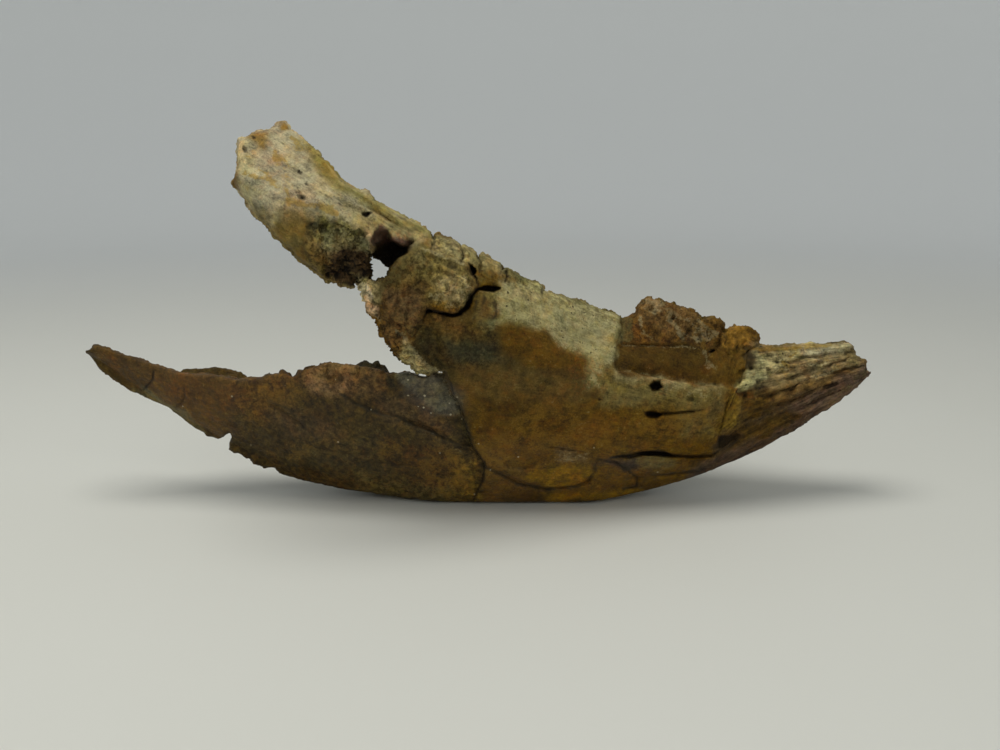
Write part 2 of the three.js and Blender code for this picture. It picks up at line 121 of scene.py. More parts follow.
SEAM = 1.5  # how far the two halves overlap at the middle plane
NEAR, FAR = -1, 1


# ---------------------------------------------------------------------------------------------
# Surfaces, as half widths from the middle plane at (x, z), mm


def rise(value, low, high):
    return np.clip((value - low) / (high - low), 0, 1)


def smooth(value, low, high):
    t = rise(value, low, high)
    return t * t * (3 - 2 * t)


def bulge(s, power):
    return np.sin(s * math.pi / 2) ** power


def swell(x, z):
    along = 0.8 * np.sin(x / 13 + 1.7 * np.sin(z / 17))
    across = 0.6 * np.sin(z / 9 + 1.3 * np.sin(x / 21))
    return (along + across) * rise(z, 4, 20)


def side_wall(x, z):
    rim = rim_height(x)
    spread = rim_width(x) - keel_width(x)
    low = keel_width(x) + spread * bulge(rise(z, keel_height(x), rim), 0.8)
    high = rim_width(x) - bevel(x) * (z - rim)
    blend = rim_blend(x)
    t = np.clip(0.5 + 0.5 * (high - low) / blend, 0, 1)
    return high * (1 - t) + low * t - blend * t * (1 - t) + swell(x, z)


def process_wall(x, z):
    s = rise(z, process_keel(x), process_top(x))
    spread = process_top_width(x) - process_keel_width(x)
    return process_keel_width(x) + spread * bulge(s, 0.8) + 0.6 * swell(x, z)


def side_hollow(x, z):
    rim = rim_height(x)
    above = np.maximum(0, z - rim)
    wall = np.maximum(wall_thickness(x), THINNEST_RIM + bevel(x) * above)
    return np.maximum(0, rim_width(x) - wall) * bulge(rise(z, hollow_floor(x), rim), 0.7)


def process_hollow(x, z):
    s = rise(z, hollow_floor(x), process_top(x))
    return np.maximum(0, process_top_width(x) - PROCESS_WALL) * bulge(s, 0.7)


def process_floor(x):
    return np.maximum(0, process_keel(x) - PROCESS_FLOOR_DROP)


# ---------------------------------------------------------------------------------------------
# Outlines and lines in the side view, (x, z) on the bone's surface, mm

WING_UNDERSIDE = [
    (-104.5, 164), (-101.5, 160), (-99, 157), (-96.5, 152.5), (-90.5, 146), (-88, 143.5), (-87.5, 142),
    (-84.5, 139.5), (-81.5, 136), (-79.5, 134.5), (-79, 132.5), (-76.5, 130.5), (-73, 128), (-69.5, 125),
    (-66, 122), (-62.5, 121.5), (-59.5, 120.5), (-56, 119.5), (-54.5, 121), (-54, 123.5), (-51.5, 122.5),
]
BROKEN_BACK_EDGE = [
    (-52.5, 120), (-51.5, 117), (-51, 113.5), (-49.5, 111), (-49, 107), (-45.5, 104.5), (-44, 100.5),
    (-44, 96), (-41.5, 94), (-39, 89), (-36, 84.5), (-31.5, 81.5), (-27, 77.5), (-22.5, 77), (-18.5, 78),
    (-15.5, 77.5),
]
SUTURE = [
    (-14.5, 73.5), (-12.5, 67), (-8.5, 59.5), (-6.5, 49), (-3.5, 38), (2.5, 27), (1.5, 16.5), (-2.5, 6.5),
    (-4.5, -1),
]
BEAK_UNDERSIDE = [
    (48, -1), (61, 0), (72, 1), (82.5, 2), (93, 4), (103.5, 6.5), (113.5, 10), (124, 15), (134, 19),
    (144.5, 24.5), (154.5, 30), (164.5, 36.5), (175, 43), (185, 50), (190, 55), (195, 59.5), (200, 66),
]
BEAK_TIP = [
    (196.5, 67.5), (196, 72), (192, 75), (191.5, 77.5), (189.5, 81), (186.5, 83), (182.5, 82), (175, 81),
    (168, 82), (161.5, 81), (153, 81.5), (145, 81.5), (139.5, 82.5),
]
LEDGE = [
    (132.5, 80), (131, 74), (129, 68), (127, 64), (117.5, 65), (107.5, 65.5), (97, 68), (87, 70),
    (77, 72.5), (65.5, 74.5), (65, 79.5), (66, 86), (69, 93), (68.5, 98.5),
]
CUTTING_EDGE = [
    (63.5, 100.5), (58.5, 102), (51.5, 105), (44, 107.5), (34, 111), (29.5, 112), (30.5, 114), (29, 115),
    (23, 118), (17, 121.5), (12.5, 124), (11, 122.5), (10, 125.5), (5.5, 129), (1, 131), (0, 128.5),
    (-1, 132), (-4, 133.5), (-7, 135), (-8, 132.5), (-9, 136), (-13, 138.5), (-16, 139.5), (-19, 140.5),
    (-20.5, 138), (-21.5, 141.5), (-23.5, 143), (-26, 145), (-30.5, 147), (-35, 149.5), (-39, 152),
    (-43.5, 154), (-46, 155.5), (-47.5, 157.5), (-49, 160), (-53, 160), (-54.5, 161), (-57.5, 163),
    (-60.5, 165), (-63.5, 168.5), (-67, 172.5), (-69, 174), (-70.5, 176.5), (-74, 179), (-77, 182),
    (-81, 185), (-84.5, 186.5), (-84.5, 188.5), (-86.5, 190.5), (-89.5, 190), (-90, 188), (-93, 187),
    (-96, 186), (-99.5, 184.5), (-102, 183), (-104.5, 182.5), (-104, 177), (-103, 171), (-104, 166),
]
NEAR_SIDE = [*WING_UNDERSIDE, *BROKEN_BACK_EDGE, *SUTURE, *BEAK_UNDERSIDE, *BEAK_TIP, *LEDGE, *CUTTING_EDGE]
SLAB = [
    (63, 78), (64, 87.5), (66, 97.5), (71, 98.5), (75, 100.5), (76.5, 103.5), (78.5, 107), (81, 108.5),
    (83.5, 107), (87.5, 106.5), (92.5, 105), (97.5, 103), (102.5, 102), (106.5, 99.5), (107, 96.5),
    (109.5, 97), (113, 97.5), (117.5, 96.5), (119.5, 94.5), (118.5, 91), (119.5, 90.5), (123, 92),
    (128.5, 92), (134, 91), (137.5, 89), (139, 86.5), (138, 83.5), (141.5, 81.5), (137.5, 75), (133, 61),
    (118.5, 58), (98, 60), (77.5, 65), (63.5, 69.5),
]
CAP = [
    (-45, 117.5), (-42, 125), (-36.5, 129), (-32, 133.5), (-28.5, 137), (-23.5, 135.5), (-17, 133),
    (-11.5, 130.5), (-7, 128), (-3.5, 125.5), (0, 121), (1, 118), (-1, 115.5), (-2.5, 112.5), (-4.5, 109),
    (-7.5, 105), (-12.5, 105), (-18, 105.5), (-22.5, 107), (-24.5, 102.5), (-26.5, 97.5), (-30, 94),
    (-33, 98), (-37.5, 101.5), (-41.5, 106.5), (-44.5, 112),
]
WINDOW = [
    (-48.3, 134), (-46.5, 133.2), (-43.5, 130.2), (-41, 128.4), (-38, 125.8), (-40.8, 121.6), (-44, 120),
    (-46.8, 119.8), (-49, 121.4), (-48.2, 125), (-48.4, 129),
]
PROCESS_UNDERSIDE = [
    (-201, 77.5), (-199.5, 75), (-196.5, 70.5), (-193.5, 65), (-189, 62.5), (-185.5, 60), (-182, 56.5),
    (-177, 55), (-170, 51.5), (-165, 49.5), (-160, 47.5), (-157.5, 45), (-154, 42.5), (-150, 39),
    (-147, 36.5), (-143.5, 35), (-141.5, 32.5), (-139, 32.5), (-136, 31), (-133.5, 32), (-129.5, 36),
    (-127, 36.5), (-127.5, 33), (-130, 29.5), (-130, 25.5), (-127.5, 24), (-124.5, 23.5), (-122.5, 21.5),
    (-119.5, 21), (-116, 17), (-112, 16.5), (-106.5, 16.5), (-104, 13.5), (-99, 12), (-93.5, 10.5),
    (-83, 8.5), (-72.5, 6.5), (-62.5, 5), (-52, 4), (-41.5, 2.5), (-31, 1.5), (-20.5, 0.5), (-12, -1),
]
NEAR_PROCESS_TOP = [
    (-9, 72), (-21, 72), (-27, 70.5), (-32, 72.5), (-36, 73), (-39, 72), (-44.5, 72), (-46, 73.5),
    (-50.5, 74), (-55.5, 75), (-59, 75.5), (-65, 75.5), (-71, 76.5), (-76.5, 76), (-82.5, 73), (-86.5, 72),
    (-88.5, 72), (-90, 69.5), (-91.5, 68.5), (-94.5, 70.5), (-97, 72), (-98.5, 70), (-102, 69.5),
    (-104.5, 70), (-107, 68), (-113.5, 68), (-118.5, 66.5), (-124.5, 67.5), (-131.5, 68.5), (-136.5, 68.5),
    (-144.5, 68.5), (-150, 69), (-157.5, 71), (-164.5, 72.5), (-170.5, 75), (-178.5, 77), (-186.5, 79.5),
    (-191.5, 81), (-194.5, 81.5), (-195.5, 79.5),
]
NEAR_PROCESS = [*PROCESS_UNDERSIDE, (12, -1), (12, 21.5), (4, 38), (-3, 62), *NEAR_PROCESS_TOP]
FAR_SIDE = [
    (-4, -1), *BEAK_UNDERSIDE, (196.5, 67.5), (195, 71), (191, 75), (188, 78), (181, 78.5), (172, 77),
    (160, 77.5), (148, 76), (139, 78), (131, 80), (122, 83), (112, 82), (103, 85), (95, 84), (88, 82),
    (80, 81), (72, 80), (65, 83), (57, 88), (50, 91), (43, 92), (36, 97), (29, 102), (22, 104), (15, 109),
    (8, 112), (1, 112), (-4, 109), (-9, 103), (-13, 96), (-10, 88), (-14, 80), (-11, 70), (-8, 55),
    (-10, 40), (-6, 26), (-8, 12),
]
FAR_PROCESS = [
    *PROCESS_UNDERSIDE, (12, -1), (12, 21.5), (4, 38), (-6, 52), (-12, 54), (-20, 51), (-28, 53), (-36, 51),
    (-44, 53), (-50, 58), (-52.5, 62.5), (-55, 63), (-57, 65.5), (-60, 63.5), (-62.5, 65.5), (-65.5, 65),
    (-71, 61.5), (-76, 57), (-82, 54), (-90, 55), (-98, 53), (-104, 54), (-110, 52), (-118, 54), (-124, 58),
    (-128, 61), (-134, 63), (-141, 64.5), (-151, 64), (-157, 64.5), (-159, 61), (-166, 61), (-175, 65),
    (-186, 73), (-194, 77),
]

# Places on the near side that are broken out, (x, z)
HOLLOW_UNDER_RIM = [
    (-46.5, 138.5), (-46, 141), (-44.5, 143), (-43, 144.5), (-40.5, 143.5), (-38, 142.5), (-37.5, 139.5),
    (-35, 137.5), (-31.5, 137), (-30.5, 138), (-28, 138), (-29.5, 135), (-31, 133.5), (-33.5, 131),
    (-36.5, 128.5), (-39.5, 126), (-41.5, 127.5), (-43.5, 129), (-45.5, 131), (-47, 132), (-46, 135.5),
]
BROKEN_END = [
    (-69, 146.5), (-64, 149), (-57.5, 147), (-51.5, 145), (-47, 141.5), (-48, 136), (-45.5, 132),
    (-44.5, 125), (-47, 121), (-53, 117.5), (-58, 117), (-64, 118.5), (-68, 125), (-69.5, 135),
]

DENT = [
    (-24, 100), (-18.5, 97.5), (-17, 90.5), (-16, 83), (-15, 77.5), (-19.5, 79), (-23, 83), (-27.5, 87),
    (-30, 90.5), (-28, 95.5),
]
UPPER_LAYER = [
    (-74.5, 78), (-74.5, 71), (-72, 63), (-68, 61), (-63, 58.5), (-58, 55.5), (-52, 52.5), (-47, 50.5),
    (-40.5, 50), (-35, 47), (-29, 44.5), (-22.5, 41.5), (-14.5, 37.5), (-8.5, 35), (4, 33), (4, 60),
    (-8, 80),
]
FLAKE = [
    (125.5, 62), (130.5, 58.5), (129.5, 50), (130, 39.5), (126.5, 40.5), (124.5, 38.5), (121.5, 39.5),
    (119, 38.5), (120, 42.5), (121, 50), (121.5, 56.5),
]
NOTCH = [
    (118.5, 38.5), (122, 38.5), (124.5, 37.5), (128.5, 39.5), (133, 37), (127.5, 34), (122.5, 30.5),
    (119.5, 29),
]

# Cracks and grooves on the near side: line, width, depth, darkness of the painted shade in them
CRACKS = [
    ([(-29.5, 94), (-27.5, 97.5), (-25.5, 100.5), (-24, 104)], 0.8, 2, 0.35),
    ([(-24, 104), (-23, 107), (-19, 106), (-16, 105), (-12, 104), (-8, 104.5)], 1.4, 7, 1),
    ([(-10, 104), (-5, 108), (-3, 113), (0, 116)], 1.9, 9, 1),
    ([(-1, 116), (2.5, 116), (6.5, 115.5), (10, 115.5)], 2.2, 9, 1),
    ([(-4.5, 127.5), (-3, 125.5), (-2, 122), (-0.5, 120), (0, 117)], 1, 5, 0.8),
    ([(-3.2, 125.5), (-1.8, 121.8)], 2.6, 8, 1),
    ([(82.5, 66.5), (85.5, 66), (88, 65.7)], 4.2, 9, 1),
    ([(101, 59), (104.5, 59)], 3, 2.2, 0.5),
    ([(80, 53), (83.5, 52), (88, 51.5)], 2.8, 5, 0.95),
    ([(80.5, 52.5), (88.5, 52), (97.5, 52.5), (109.5, 53)], 1.1, 3, 0.75),
    ([(125.5, 62), (121.5, 56), (121, 50), (120, 42), (119.5, 38.5)], 0.6, 1.6, 0.55),
    ([(64.5, 29.5), (69.5, 30), (74, 29.5), (80, 31), (87.5, 30.5), (97, 28), (106, 26.5), (117, 26),
     (120, 28)], 1.6, 4, 0.8),
    ([(78, 30.8), (87.5, 30.6), (96, 28.5)], 2.6, 4, 1),
    ([(32, 36.5), (40, 35), (52, 32.5)], 0.9, 1.6, 0.5),
    ([(40, 36), (40, 31), (40, 27.5)], 0.7, 1, 0.35),
    ([(0, 26.5), (10, 20.5), (20, 14), (32.5, 10.5), (47.5, 12), (53.5, 15), (56.5, 20),
     (57.5, 27)], 1.3, 2.4, 0.42),
    ([(57, 28.5), (67.5, 26.5), (74, 20.5), (79.5, 15), (79.5, 9), (72, 8.5)], 1.2, 2, 0.38),
    ([(86, 16.5), (100, 16), (112.5, 16.5)], 1, 1.4, 0.6),
    ([(10, 29), (14, 25.5), (22.5, 24), (29.5, 26.5)], 1.4, 1.4, 0.3),
    ([(-50.5, 150.5), (-49, 149.5), (-47.5, 150.5)], 1.1, 3, 0.9),
    ([(117.8, 91), (117, 86.5), (114.5, 82.5)], 1, 2.2, 0.3),
    ([(114.5, 82.5), (111.5, 81.5)], 1.8, 4, 0.9),
    ([(103, 95), (100.5, 91), (97, 88)], 1.1, 2.5, 0.5),
    ([(124, 80.5), (129.5, 84), (137, 87.5)], 1, 1.2, 0.3),
    ([(127.5, 77.5), (133.5, 80.5), (139, 81.5)], 1.1, 1.4, 0.35),
    ([(92.5, 104), (94, 99), (91, 96)], 1, 2, 0.4),
    ([(68.5, 86), (82, 85.7), (94, 85.3), (104, 85)], 0.9, 1.6, 0.35),
    ([(-21, 142.5), (-19.5, 138), (-21, 134)], 0.9, 2.5, 0.7),
    ([(-7.8, 134), (-6.5, 130.5), (-8, 127)], 0.9, 2.5, 0.7),
    ([(0, 130), (1.5, 126.5), (0.5, 123)], 0.9, 2.5, 0.7),
    ([(12, 124), (13.5, 120), (12, 117.5)], 0.9, 2.5, 0.7),
    ([(29.5, 113), (30.5, 110)], 0.9, 2, 0.6),
    ([(-66, 160), (-58, 154), (-52, 152), (-47, 146)], 1, 1.4, 0.25),
    ([(-52, 155), (-44, 150), (-34, 144), (-28, 141)], 0.9, 1.3, 0.3),
    ([(-46, 152), (-38, 146), (-30, 140)], 0.8, 1.2, 0.25),
]
PROCESS_CRACKS = [
    ([(-164, 70), (-165.5, 64), (-168.5, 61), (-174.5, 56)], 0.8, 1.6, 0.8),
    ([(-148.5, 61), (-149, 55.5), (-152.5, 51), (-157, 48.5)], 0.7, 1.2, 0.6),
    ([(-109, 56), (-100, 52), (-92, 46.5), (-86, 41)], 2, 1.2, 0.35),
    ([(-39, 50.5), (-34, 48), (-28, 45.5), (-21, 42), (-13, 38)], 1.6, 1.4, 0.4),
    ([(-85.5, 32), (-70, 29), (-55, 28)], 1.1, 0.8, 0.3),
    ([(-64, 24), (-48, 23.5), (-30, 23)], 1.1, 0.8, 0.3),
]
SUTURE_LINE = [
    (-13, 72), (-12, 66), (-8.5, 58), (-6.5, 49), (-3.5, 38), (2.5, 27), (1.5, 16.5), (-2.5, 6.5), (-4, 1),
]
TIP_GROOVES = [
    ([(139.5, 57), (146.5, 60), (154.5, 61.5), (159.5, 63.5)], 2, 2.6, 0.45),
    ([(145.5, 53), (152.5, 54.5), (160, 56.5), (168, 59.5)], 1.7, 2.6, 0.55),
    ([(132, 45.5), (139.5, 49), (147.5, 50)], 1.5, 2, 0.3),
    ([(156, 49), (163.5, 52), (174, 56), (185, 59.5)], 1.4, 2.2, 0.4),
    ([(157, 45), (163, 46.5), (168.5, 48)], 1.3, 1.6, 0.4),
    ([(171, 59), (175, 61.5), (180.5, 63)], 1.5, 2.2, 0.5),
    ([(155, 73), (163.5, 75), (171.5, 75.5), (178.5, 76.5)], 1.5, 2, 0.35),
    ([(172, 69.5), (181.5, 72.5), (189.5, 74.5)], 1.5, 2.2, 0.4),
    ([(149, 66), (160, 67), (168.5, 69)], 1.5, 2, 0.35),
    ([(182.5, 75), (188.5, 77), (191.5, 77)], 1.2, 1.8, 0.4),
    ([(172.5, 51), (183.5, 54), (193, 58)], 1.2, 1.6, 0.3),
    ([(176.5, 67), (185, 69), (193.5, 70)], 1.3, 1.8, 0.4),
    ([(138, 34.5), (150.5, 35.5), (161, 39.5)], 1.5, 1.6, 0.3),
    ([(130, 26.5), (143.5, 29.5), (157, 35)], 1.5, 1.4, 0.3),
]
# Soft hollows beside the belly's lobes and under its folds: line, width, depth
FOLDS = [
    ([(4, 24), (14, 15), (25, 8.5), (40, 8), (52, 11), (57, 19)], 7, 1.3),
    ([(10, 31), (22, 25.5), (40, 29), (58, 27.5), (68, 27)], 6, 1.2),
    ([(57, 24), (59, 17), (58, 10)], 5, 1),
    ([(61, 7.5), (72, 10), (80, 18), (76, 25)], 6, 1.2),
    ([(-14, 100), (-2, 100), (6, 108)], 7, 1.4),
    ([(-90, 152), (-72, 145), (-58, 144)], 6, 1.6),
    ([(-82, 142), (-70, 139), (-62, 134)], 5, 1.4),
    ([(-25, 132.5), (-20.5, 129.5), (-14.5, 127.5), (-9, 124.5)], 3, 1),
]
# Small pits: x, z, radius, depth
PITS = [
    (-78, 168.5, 0.9, 1.6), (-75.5, 157.5, 1, 1.8), (-102, 178, 0.8, 1.2), (-98.5, 183, 0.8, 1.2),
    (-48.5, 150.5, 1.1, 2), (167, 69.5, 1, 1.6), (130.5, 59.5, 1.8, 2.8), (133.5, 72.5, 1.6, 2.6),
    (-30, 137.5, 2, 3.2), (-74.5, 163.5, 0.7, 1), (-79, 178.5, 0.7, 1), (-87.5, 177, 0.6, 1),
    (57.5, 61.5, 1, 1.4), (143, 71, 1.2, 1.8), (137.5, 66, 1.3, 2), (148, 74, 1, 1.6),
]

# ---------------------------------------------------------------------------------------------
# Noise and the side-view grid


def noise(coords, size, seed):
    """Smooth noise of about -1..1, one lump for each `size` millimetres."""
    table = np.random.default_rng(seed).uniform(-1, 1, 8192)
    keys = (73856093, 19349663, 83492791)
    cells, blends = [], []
    for c in coords:
        scaled = c / size
        cell = np.floor(scaled)
        t = scaled - cell
        cells.append(cell.astype(np.int64))
        blends.append(t * t * t * (t * (t * 6 - 15) + 10))
    total = 0.0
    for corner in range(2 ** len(coords)):
        code = 0
        weight = 1.0
        for axis, (cell, t) in enumerate(zip(cells, blends)):
            bit = corner >> axis & 1
            code = code ^ (cell + bit) * keys[axis]
            weight = weight * (t if bit else 1 - t)
        total = total + table[code & 8191] * weight
    return total


def layered(coords, size, octaves, seed, gain=0.5):
    """Noise with finer and finer layers added, about -1..1."""
    total, strength, whole = 0.0, 1.0, 0.0
    for octave in range(octaves):
        total = total + strength * noise(coords, size / 2**octave, seed + octave)
        whole += strength
        strength *= gain
    return total / whole * 1.6


U = np.arange(-209, 207, CELL)
V = np.arange(-10, 197, CELL)
UU, VV = np.meshgrid(U, V, indexing="ij")
EVERYWHERE = (slice(None), slice(None))
HUGE = 1e6  # more than any distance
OUT_OF_REACH = 50.0  # stands for a distance that isn't worked out
painted_shade = np.zeros(UU.shape)  # painted shade in the near side's cracks, pits and hollows, over the grid


def side_view(x, z, out):
    """The grid coordinates (u, v) of places at a half width."""
    scale = EYE_OUT / (EYE_OUT - out)
    return EYE_X + (x - EYE_X) * scale, EYE_Z + (z - EYE_Z) * scale


def to_grid(points, skin):
    """Points (x, z) on a surface as grid coordinates (u, v)."""
    x, z = np.array(points, float).T
    return np.stack(side_view(x, z, skin(x, z)), axis=1)


def from_grid(u, v, out):
    """The (x, z) of grid coordinates at a half width."""
    scale = 1 - out / EYE_OUT
    return EYE_X + (u - EYE_X) * scale, EYE_Z + (v - EYE_Z) * scale


FIRST_GUESS = 30.0  # of a half width, mm


def on_grid(surface):
    """A surface's half width along each of the grid's lines."""
    out = np.full(UU.shape, FIRST_GUESS)
    for _ in range(8):
        out = surface(*from_grid(UU, VV, out))
    return out


def window(points, margin):
    """The part of the grid within a margin of some points."""
    (u0, v0), (u1, v1) = points.min(0) - margin, points.max(0) + margin
    return (slice(*np.searchsorted(U, (u0, u1))), slice(*np.searchsorted(V, (v0, v1))))


def segment_distance(u, v, a, b):
    """Squared distance from a segment, and how far along it, 0 to 1."""
    run = b - a
    t = np.clip(((u - a[0]) * run[0] + (v - a[1]) * run[1]) / max(run @ run, 1e-9), 0, 1)
    return (u - a[0] - t * run[0]) ** 2 + (v - a[1] - t * run[1]) ** 2, t


def signed_distance(corners, u, v):
    """Distance from a closed outline, negative inside."""
    nearest = np.full(u.shape, HUGE)
    inside = np.zeros(u.shape, bool)
    for a, b in zip(corners, np.roll(corners, -1, 0)):
        nearest = np.minimum(nearest, segment_distance(u, v, a, b)[0])
        if a[1] != b[1]:
            crossing = a[0] + (b[0] - a[0]) * (v - a[1]) / (b[1] - a[1])
            inside ^= ((a[1] > v) != (b[1] > v)) & (u < crossing)
    return np.where(inside, -1, 1) * np.sqrt(nearest)


def distance_along(corners, u, v):
    """Distance from an open line, and how far along it, 0 to 1."""
    nearest = np.full(u.shape, HUGE)
    along = np.zeros(u.shape)
    for i, (a, b) in enumerate(zip(corners[:-1], corners[1:])):
        squared, t = segment_distance(u, v, a, b)
        closer = squared < nearest
        nearest = np.where(closer, squared, nearest)
        along = np.where(closer, (i + t) / (len(corners) - 1), along)
    return np.sqrt(nearest), along


def outline_distance(points, skin, margin=None):
    """Signed distance from an outline over the grid. Past the margin it is only large."""
    corners = to_grid(points, skin)
    part = window(corners, margin) if margin else EVERYWHERE
    distance = np.full(UU.shape, OUT_OF_REACH)
    distance[part] = signed_distance(corners, UU[part], VV[part])
    return distance


def line_distance(points, skin, margin):
    """The part of the grid near a line, its distance there, and how far along it is."""
    corners = to_grid(points, skin)
    part = window(corners, margin)
    return part, *distance_along(corners, UU[part], VV[part])


# Painted shade in the near side's cracks, pits and hollows
def darken(part, amount):
    painted_shade[part] = np.maximum(painted_shade[part], amount)


def carve(height, line, skin, width, depth, darkness):
    """Cuts a tapering groove into a height map, and paints shade into it."""
    part, distance, along = line_distance(line, skin, 3 * width + 3)
    wander = 1 + 0.45 * noise((UU[part], VV[part]), 3.2, 71)
    taper = np.clip(0.25 + 1.1 * np.sin(math.pi * np.clip(along, 0.02, 0.98)), 0, 1)
    half = width * wander * taper / 2 + 0.15
    height[part] -= depth * taper * np.clip(1.35 - distance / half, 0, 1)
    darken(part, darkness * np.clip(1.45 - distance / (half + 0.25), 0, 1))


def pit(height, x, z, radius, depth, skin):
    centre = to_grid([(x, z)], skin)
    part = window(centre, radius * 3)
    distance = np.hypot(UU[part] - centre[0, 0], VV[part] - centre[0, 1])
    sunk = np.exp(-((distance / radius) ** 2))
    height[part] -= depth * sunk
    # Painted shade in the pit
    darken(part, sunk)


def rounded(distance, radius):
    """How far a surface falls away at an edge that is this far off."""
    gap = np.clip(distance, 0, radius)
    return radius - np.sqrt(radius**2 - (radius - gap) ** 2)


# ---------------------------------------------------------------------------------------------
# The plates: outline distance, outer and inner half width, and lowest height, each over the grid

# How far the broken places are cut and the cap and slab stand off, and how round edges are, mm
BROKEN_END_DEPTH = 3.5
HOLLOW_DEPTH = 4.5
DEEPER_AT_WINDOW = 16  # how much more of the hollow is cut beside the window
DENT_DEPTH = 3.2
NOTCH_DEPTH = 3.2
FLAKE_RISE = 1.0
LAYER_STEP = 1.6
SLAB_SINK = 4.5
CAP_STEP = 0.8
CAP_LIFT = 3.6
CAP_THICKNESS = 8
NEAR_ROUNDING = 2.2
SLAB_ROUNDING = 2
PROCESS_ROUNDING = 2
CAP_ROUNDING = 2.5
WING_ROUNDING = 15
BACK_ROUNDING = 11
TAIL_SLOPE = 0.55
TAIL_CORNERS = slice(5, 19)  # those of the process's underside where the tail is faceted

coords = (UU, VV)
fine = 0.35 * layered(coords, 7, 4, 11)
grain = 0.22 * layered((UU / 5, VV), 2.4, 3, 17)
ragged = 0.8 * layered(coords, 5, 3, 23)

near = on_grid(side_wall) + fine + grain
for edge, radius in ((WING_UNDERSIDE, WING_ROUNDING), (BROKEN_BACK_EDGE, BACK_ROUNDING)):
    part, distance, _ = line_distance(edge, side_wall, radius)
    near[part] -= rounded(distance, radius)

broken_end = outline_distance(BROKEN_END, side_wall, 12)
lumpy_depth = BROKEN_END_DEPTH * smooth(-broken_end, -0.5, 2.5)
near -= lumpy_depth * (1 + 0.9 * layered(coords, 6, 3, 31))
hollow = outline_distance(HOLLOW_UNDER_RIM, side_wall, 8) + 0.8 * ragged
hollow += 0.8 * layered(coords, 2.8, 2, 29)
towards_window = smooth(UU - VV, -190, -174)
deep = HOLLOW_DEPTH + DEEPER_AT_WINDOW * towards_window
deep += 2.4 * layered(coords, 3.4, 3, 37, 0.7)
near -= deep * smooth(-hollow, -0.3, 2.2)
# Painted shade in the hollow under the rim, darkest towards the window
darken(EVERYWHERE, (0.12 + 0.8 * towards_window) * smooth(-hollow, -0.6, 1.4))
dent = outline_distance(DENT, side_wall, 8) + 0.5 * ragged
near -= DENT_DEPTH * smooth(-dent, -0.5, 2.5)
# Painted shade in the dent
darken(EVERYWHERE, 0.16 * smooth(-dent, -0.4, 2.5))
notch = outline_distance(NOTCH, side_wall, 8) + 0.3 * ragged
near -= NOTCH_DEPTH * smooth(-notch, -0.3, 1.6)
# Painted shade in the notch
darken(EVERYWHERE, 0.7 * smooth(-notch, -0.4, 1.2))
near += FLAKE_RISE * smooth(-outline_distance(FLAKE, side_wall, 8), -0.3, 0.6)
for line, width, depth in FOLDS:
    part, distance, along = line_distance(line, side_wall, 2 * width)
    near[part] -= depth * np.exp(-((2 * distance / width) ** 2)) * np.sin(math.pi * along) ** 0.5
for line, *groove in CRACKS + TIP_GROOVES:
    carve(near, line, side_wall, *groove)
for place_and_size in PITS:
    pit(near, *place_and_size, side_wall)

cap_edge = outline_distance(CAP, side_wall, 8)
cap_x, cap_z = from_grid(UU, VV, near)
cap = near + CAP_STEP + CAP_LIFT * rise(cap_x - cap_z, -165, -110)
cap -= rounded(-cap_edge, CAP_ROUNDING)
slab = on_grid(lambda x, z: side_wall(x, z) - SLAB_SINK) + 1.6 * fine
for line, *groove in CRACKS:
    carve(slab, line, side_wall, *groove)

process = on_grid(process_wall) + fine + grain
upper_layer = outline_distance(UPPER_LAYER, process_wall, 10) + 1.2 * ragged
process -= LAYER_STEP * smooth(-upper_layer, -0.4, 0.9)
part, distance, _ = line_distance(PROCESS_UNDERSIDE[TAIL_CORNERS], process_wall, 8)
process[part] -= TAIL_SLOPE * np.clip(TAIL_FACET - distance, 0, TAIL_FACET)
for line, *groove in PROCESS_CRACKS:
    carve(process, line, process_wall, *groove)
# Painted shade along the suture's crack
part, distance, _ = line_distance(SUTURE_LINE, side_wall, 5)
darken(part, 0.75 * np.clip(1.5 - distance / 0.65, 0, 1))

far_side = on_grid(side_wall) + 0.6 * layered(coords, 9, 4, 41)
far_process = on_grid(process_wall) + 0.6 * layered(coords, 9, 4, 43)
hollow_side = on_grid(side_hollow) - SEAM + 0.7 * layered(coords, 11, 4, 47)
hollow_process = on_grid(process_hollow) - SEAM + 0.5 * layered(coords, 11, 4, 53)

near_edge = outline_distance(NEAR_SIDE, side_wall)
near -= rounded(-near_edge, NEAR_ROUNDING)
slab_edge = outline_distance(SLAB, side_wall, 12)
slab -= rounded(-slab_edge, SLAB_ROUNDING)
process_edge = outline_distance(NEAR_PROCESS, process_wall)
process -= rounded(-process_edge, PROCESS_ROUNDING)
far_edge = outline_distance(FAR_SIDE, side_wall)
far_process_edge = outline_distance(FAR_PROCESS, process_wall)
window_edge = outline_distance(WINDOW, side_wall, 8)

PLATES = {
    NEAR: [
        (np.maximum(near_edge, -window_edge), near, hollow_side, keel_height),
        (slab_edge, slab, hollow_side, keel_height),
        (np.maximum(np.maximum(cap_edge, -hollow), -window_edge), cap, near - CAP_THICKNESS, keel_height),
        (process_edge, process, hollow_process, process_floor),
    ],
    FAR: [
        (far_edge, far_side, hollow_side, keel_height),
        (far_process_edge, far_process, hollow_process, process_floor),
    ],
}

# ---------------------------------------------------------------------------------------------
# The field over the side-view grid and the width, and its surface as a mesh

WIDTHS = np.arange(-88, 66, CELL)
KEEL_ROUNDING = 4.0
OUTSIDE = 20.0  # the field's value away from every plate


def steepness(surface):
    du, dv = np.gradient(surface, CELL)
    return np.sqrt(1 + du**2 + dv**2)


def smooth_max(a, b, blend):
    t = np.clip(0.5 + 0.5 * (a - b) / blend, 0, 1)
    return a * t + b * (1 - t) + blend * t * (1 - t)


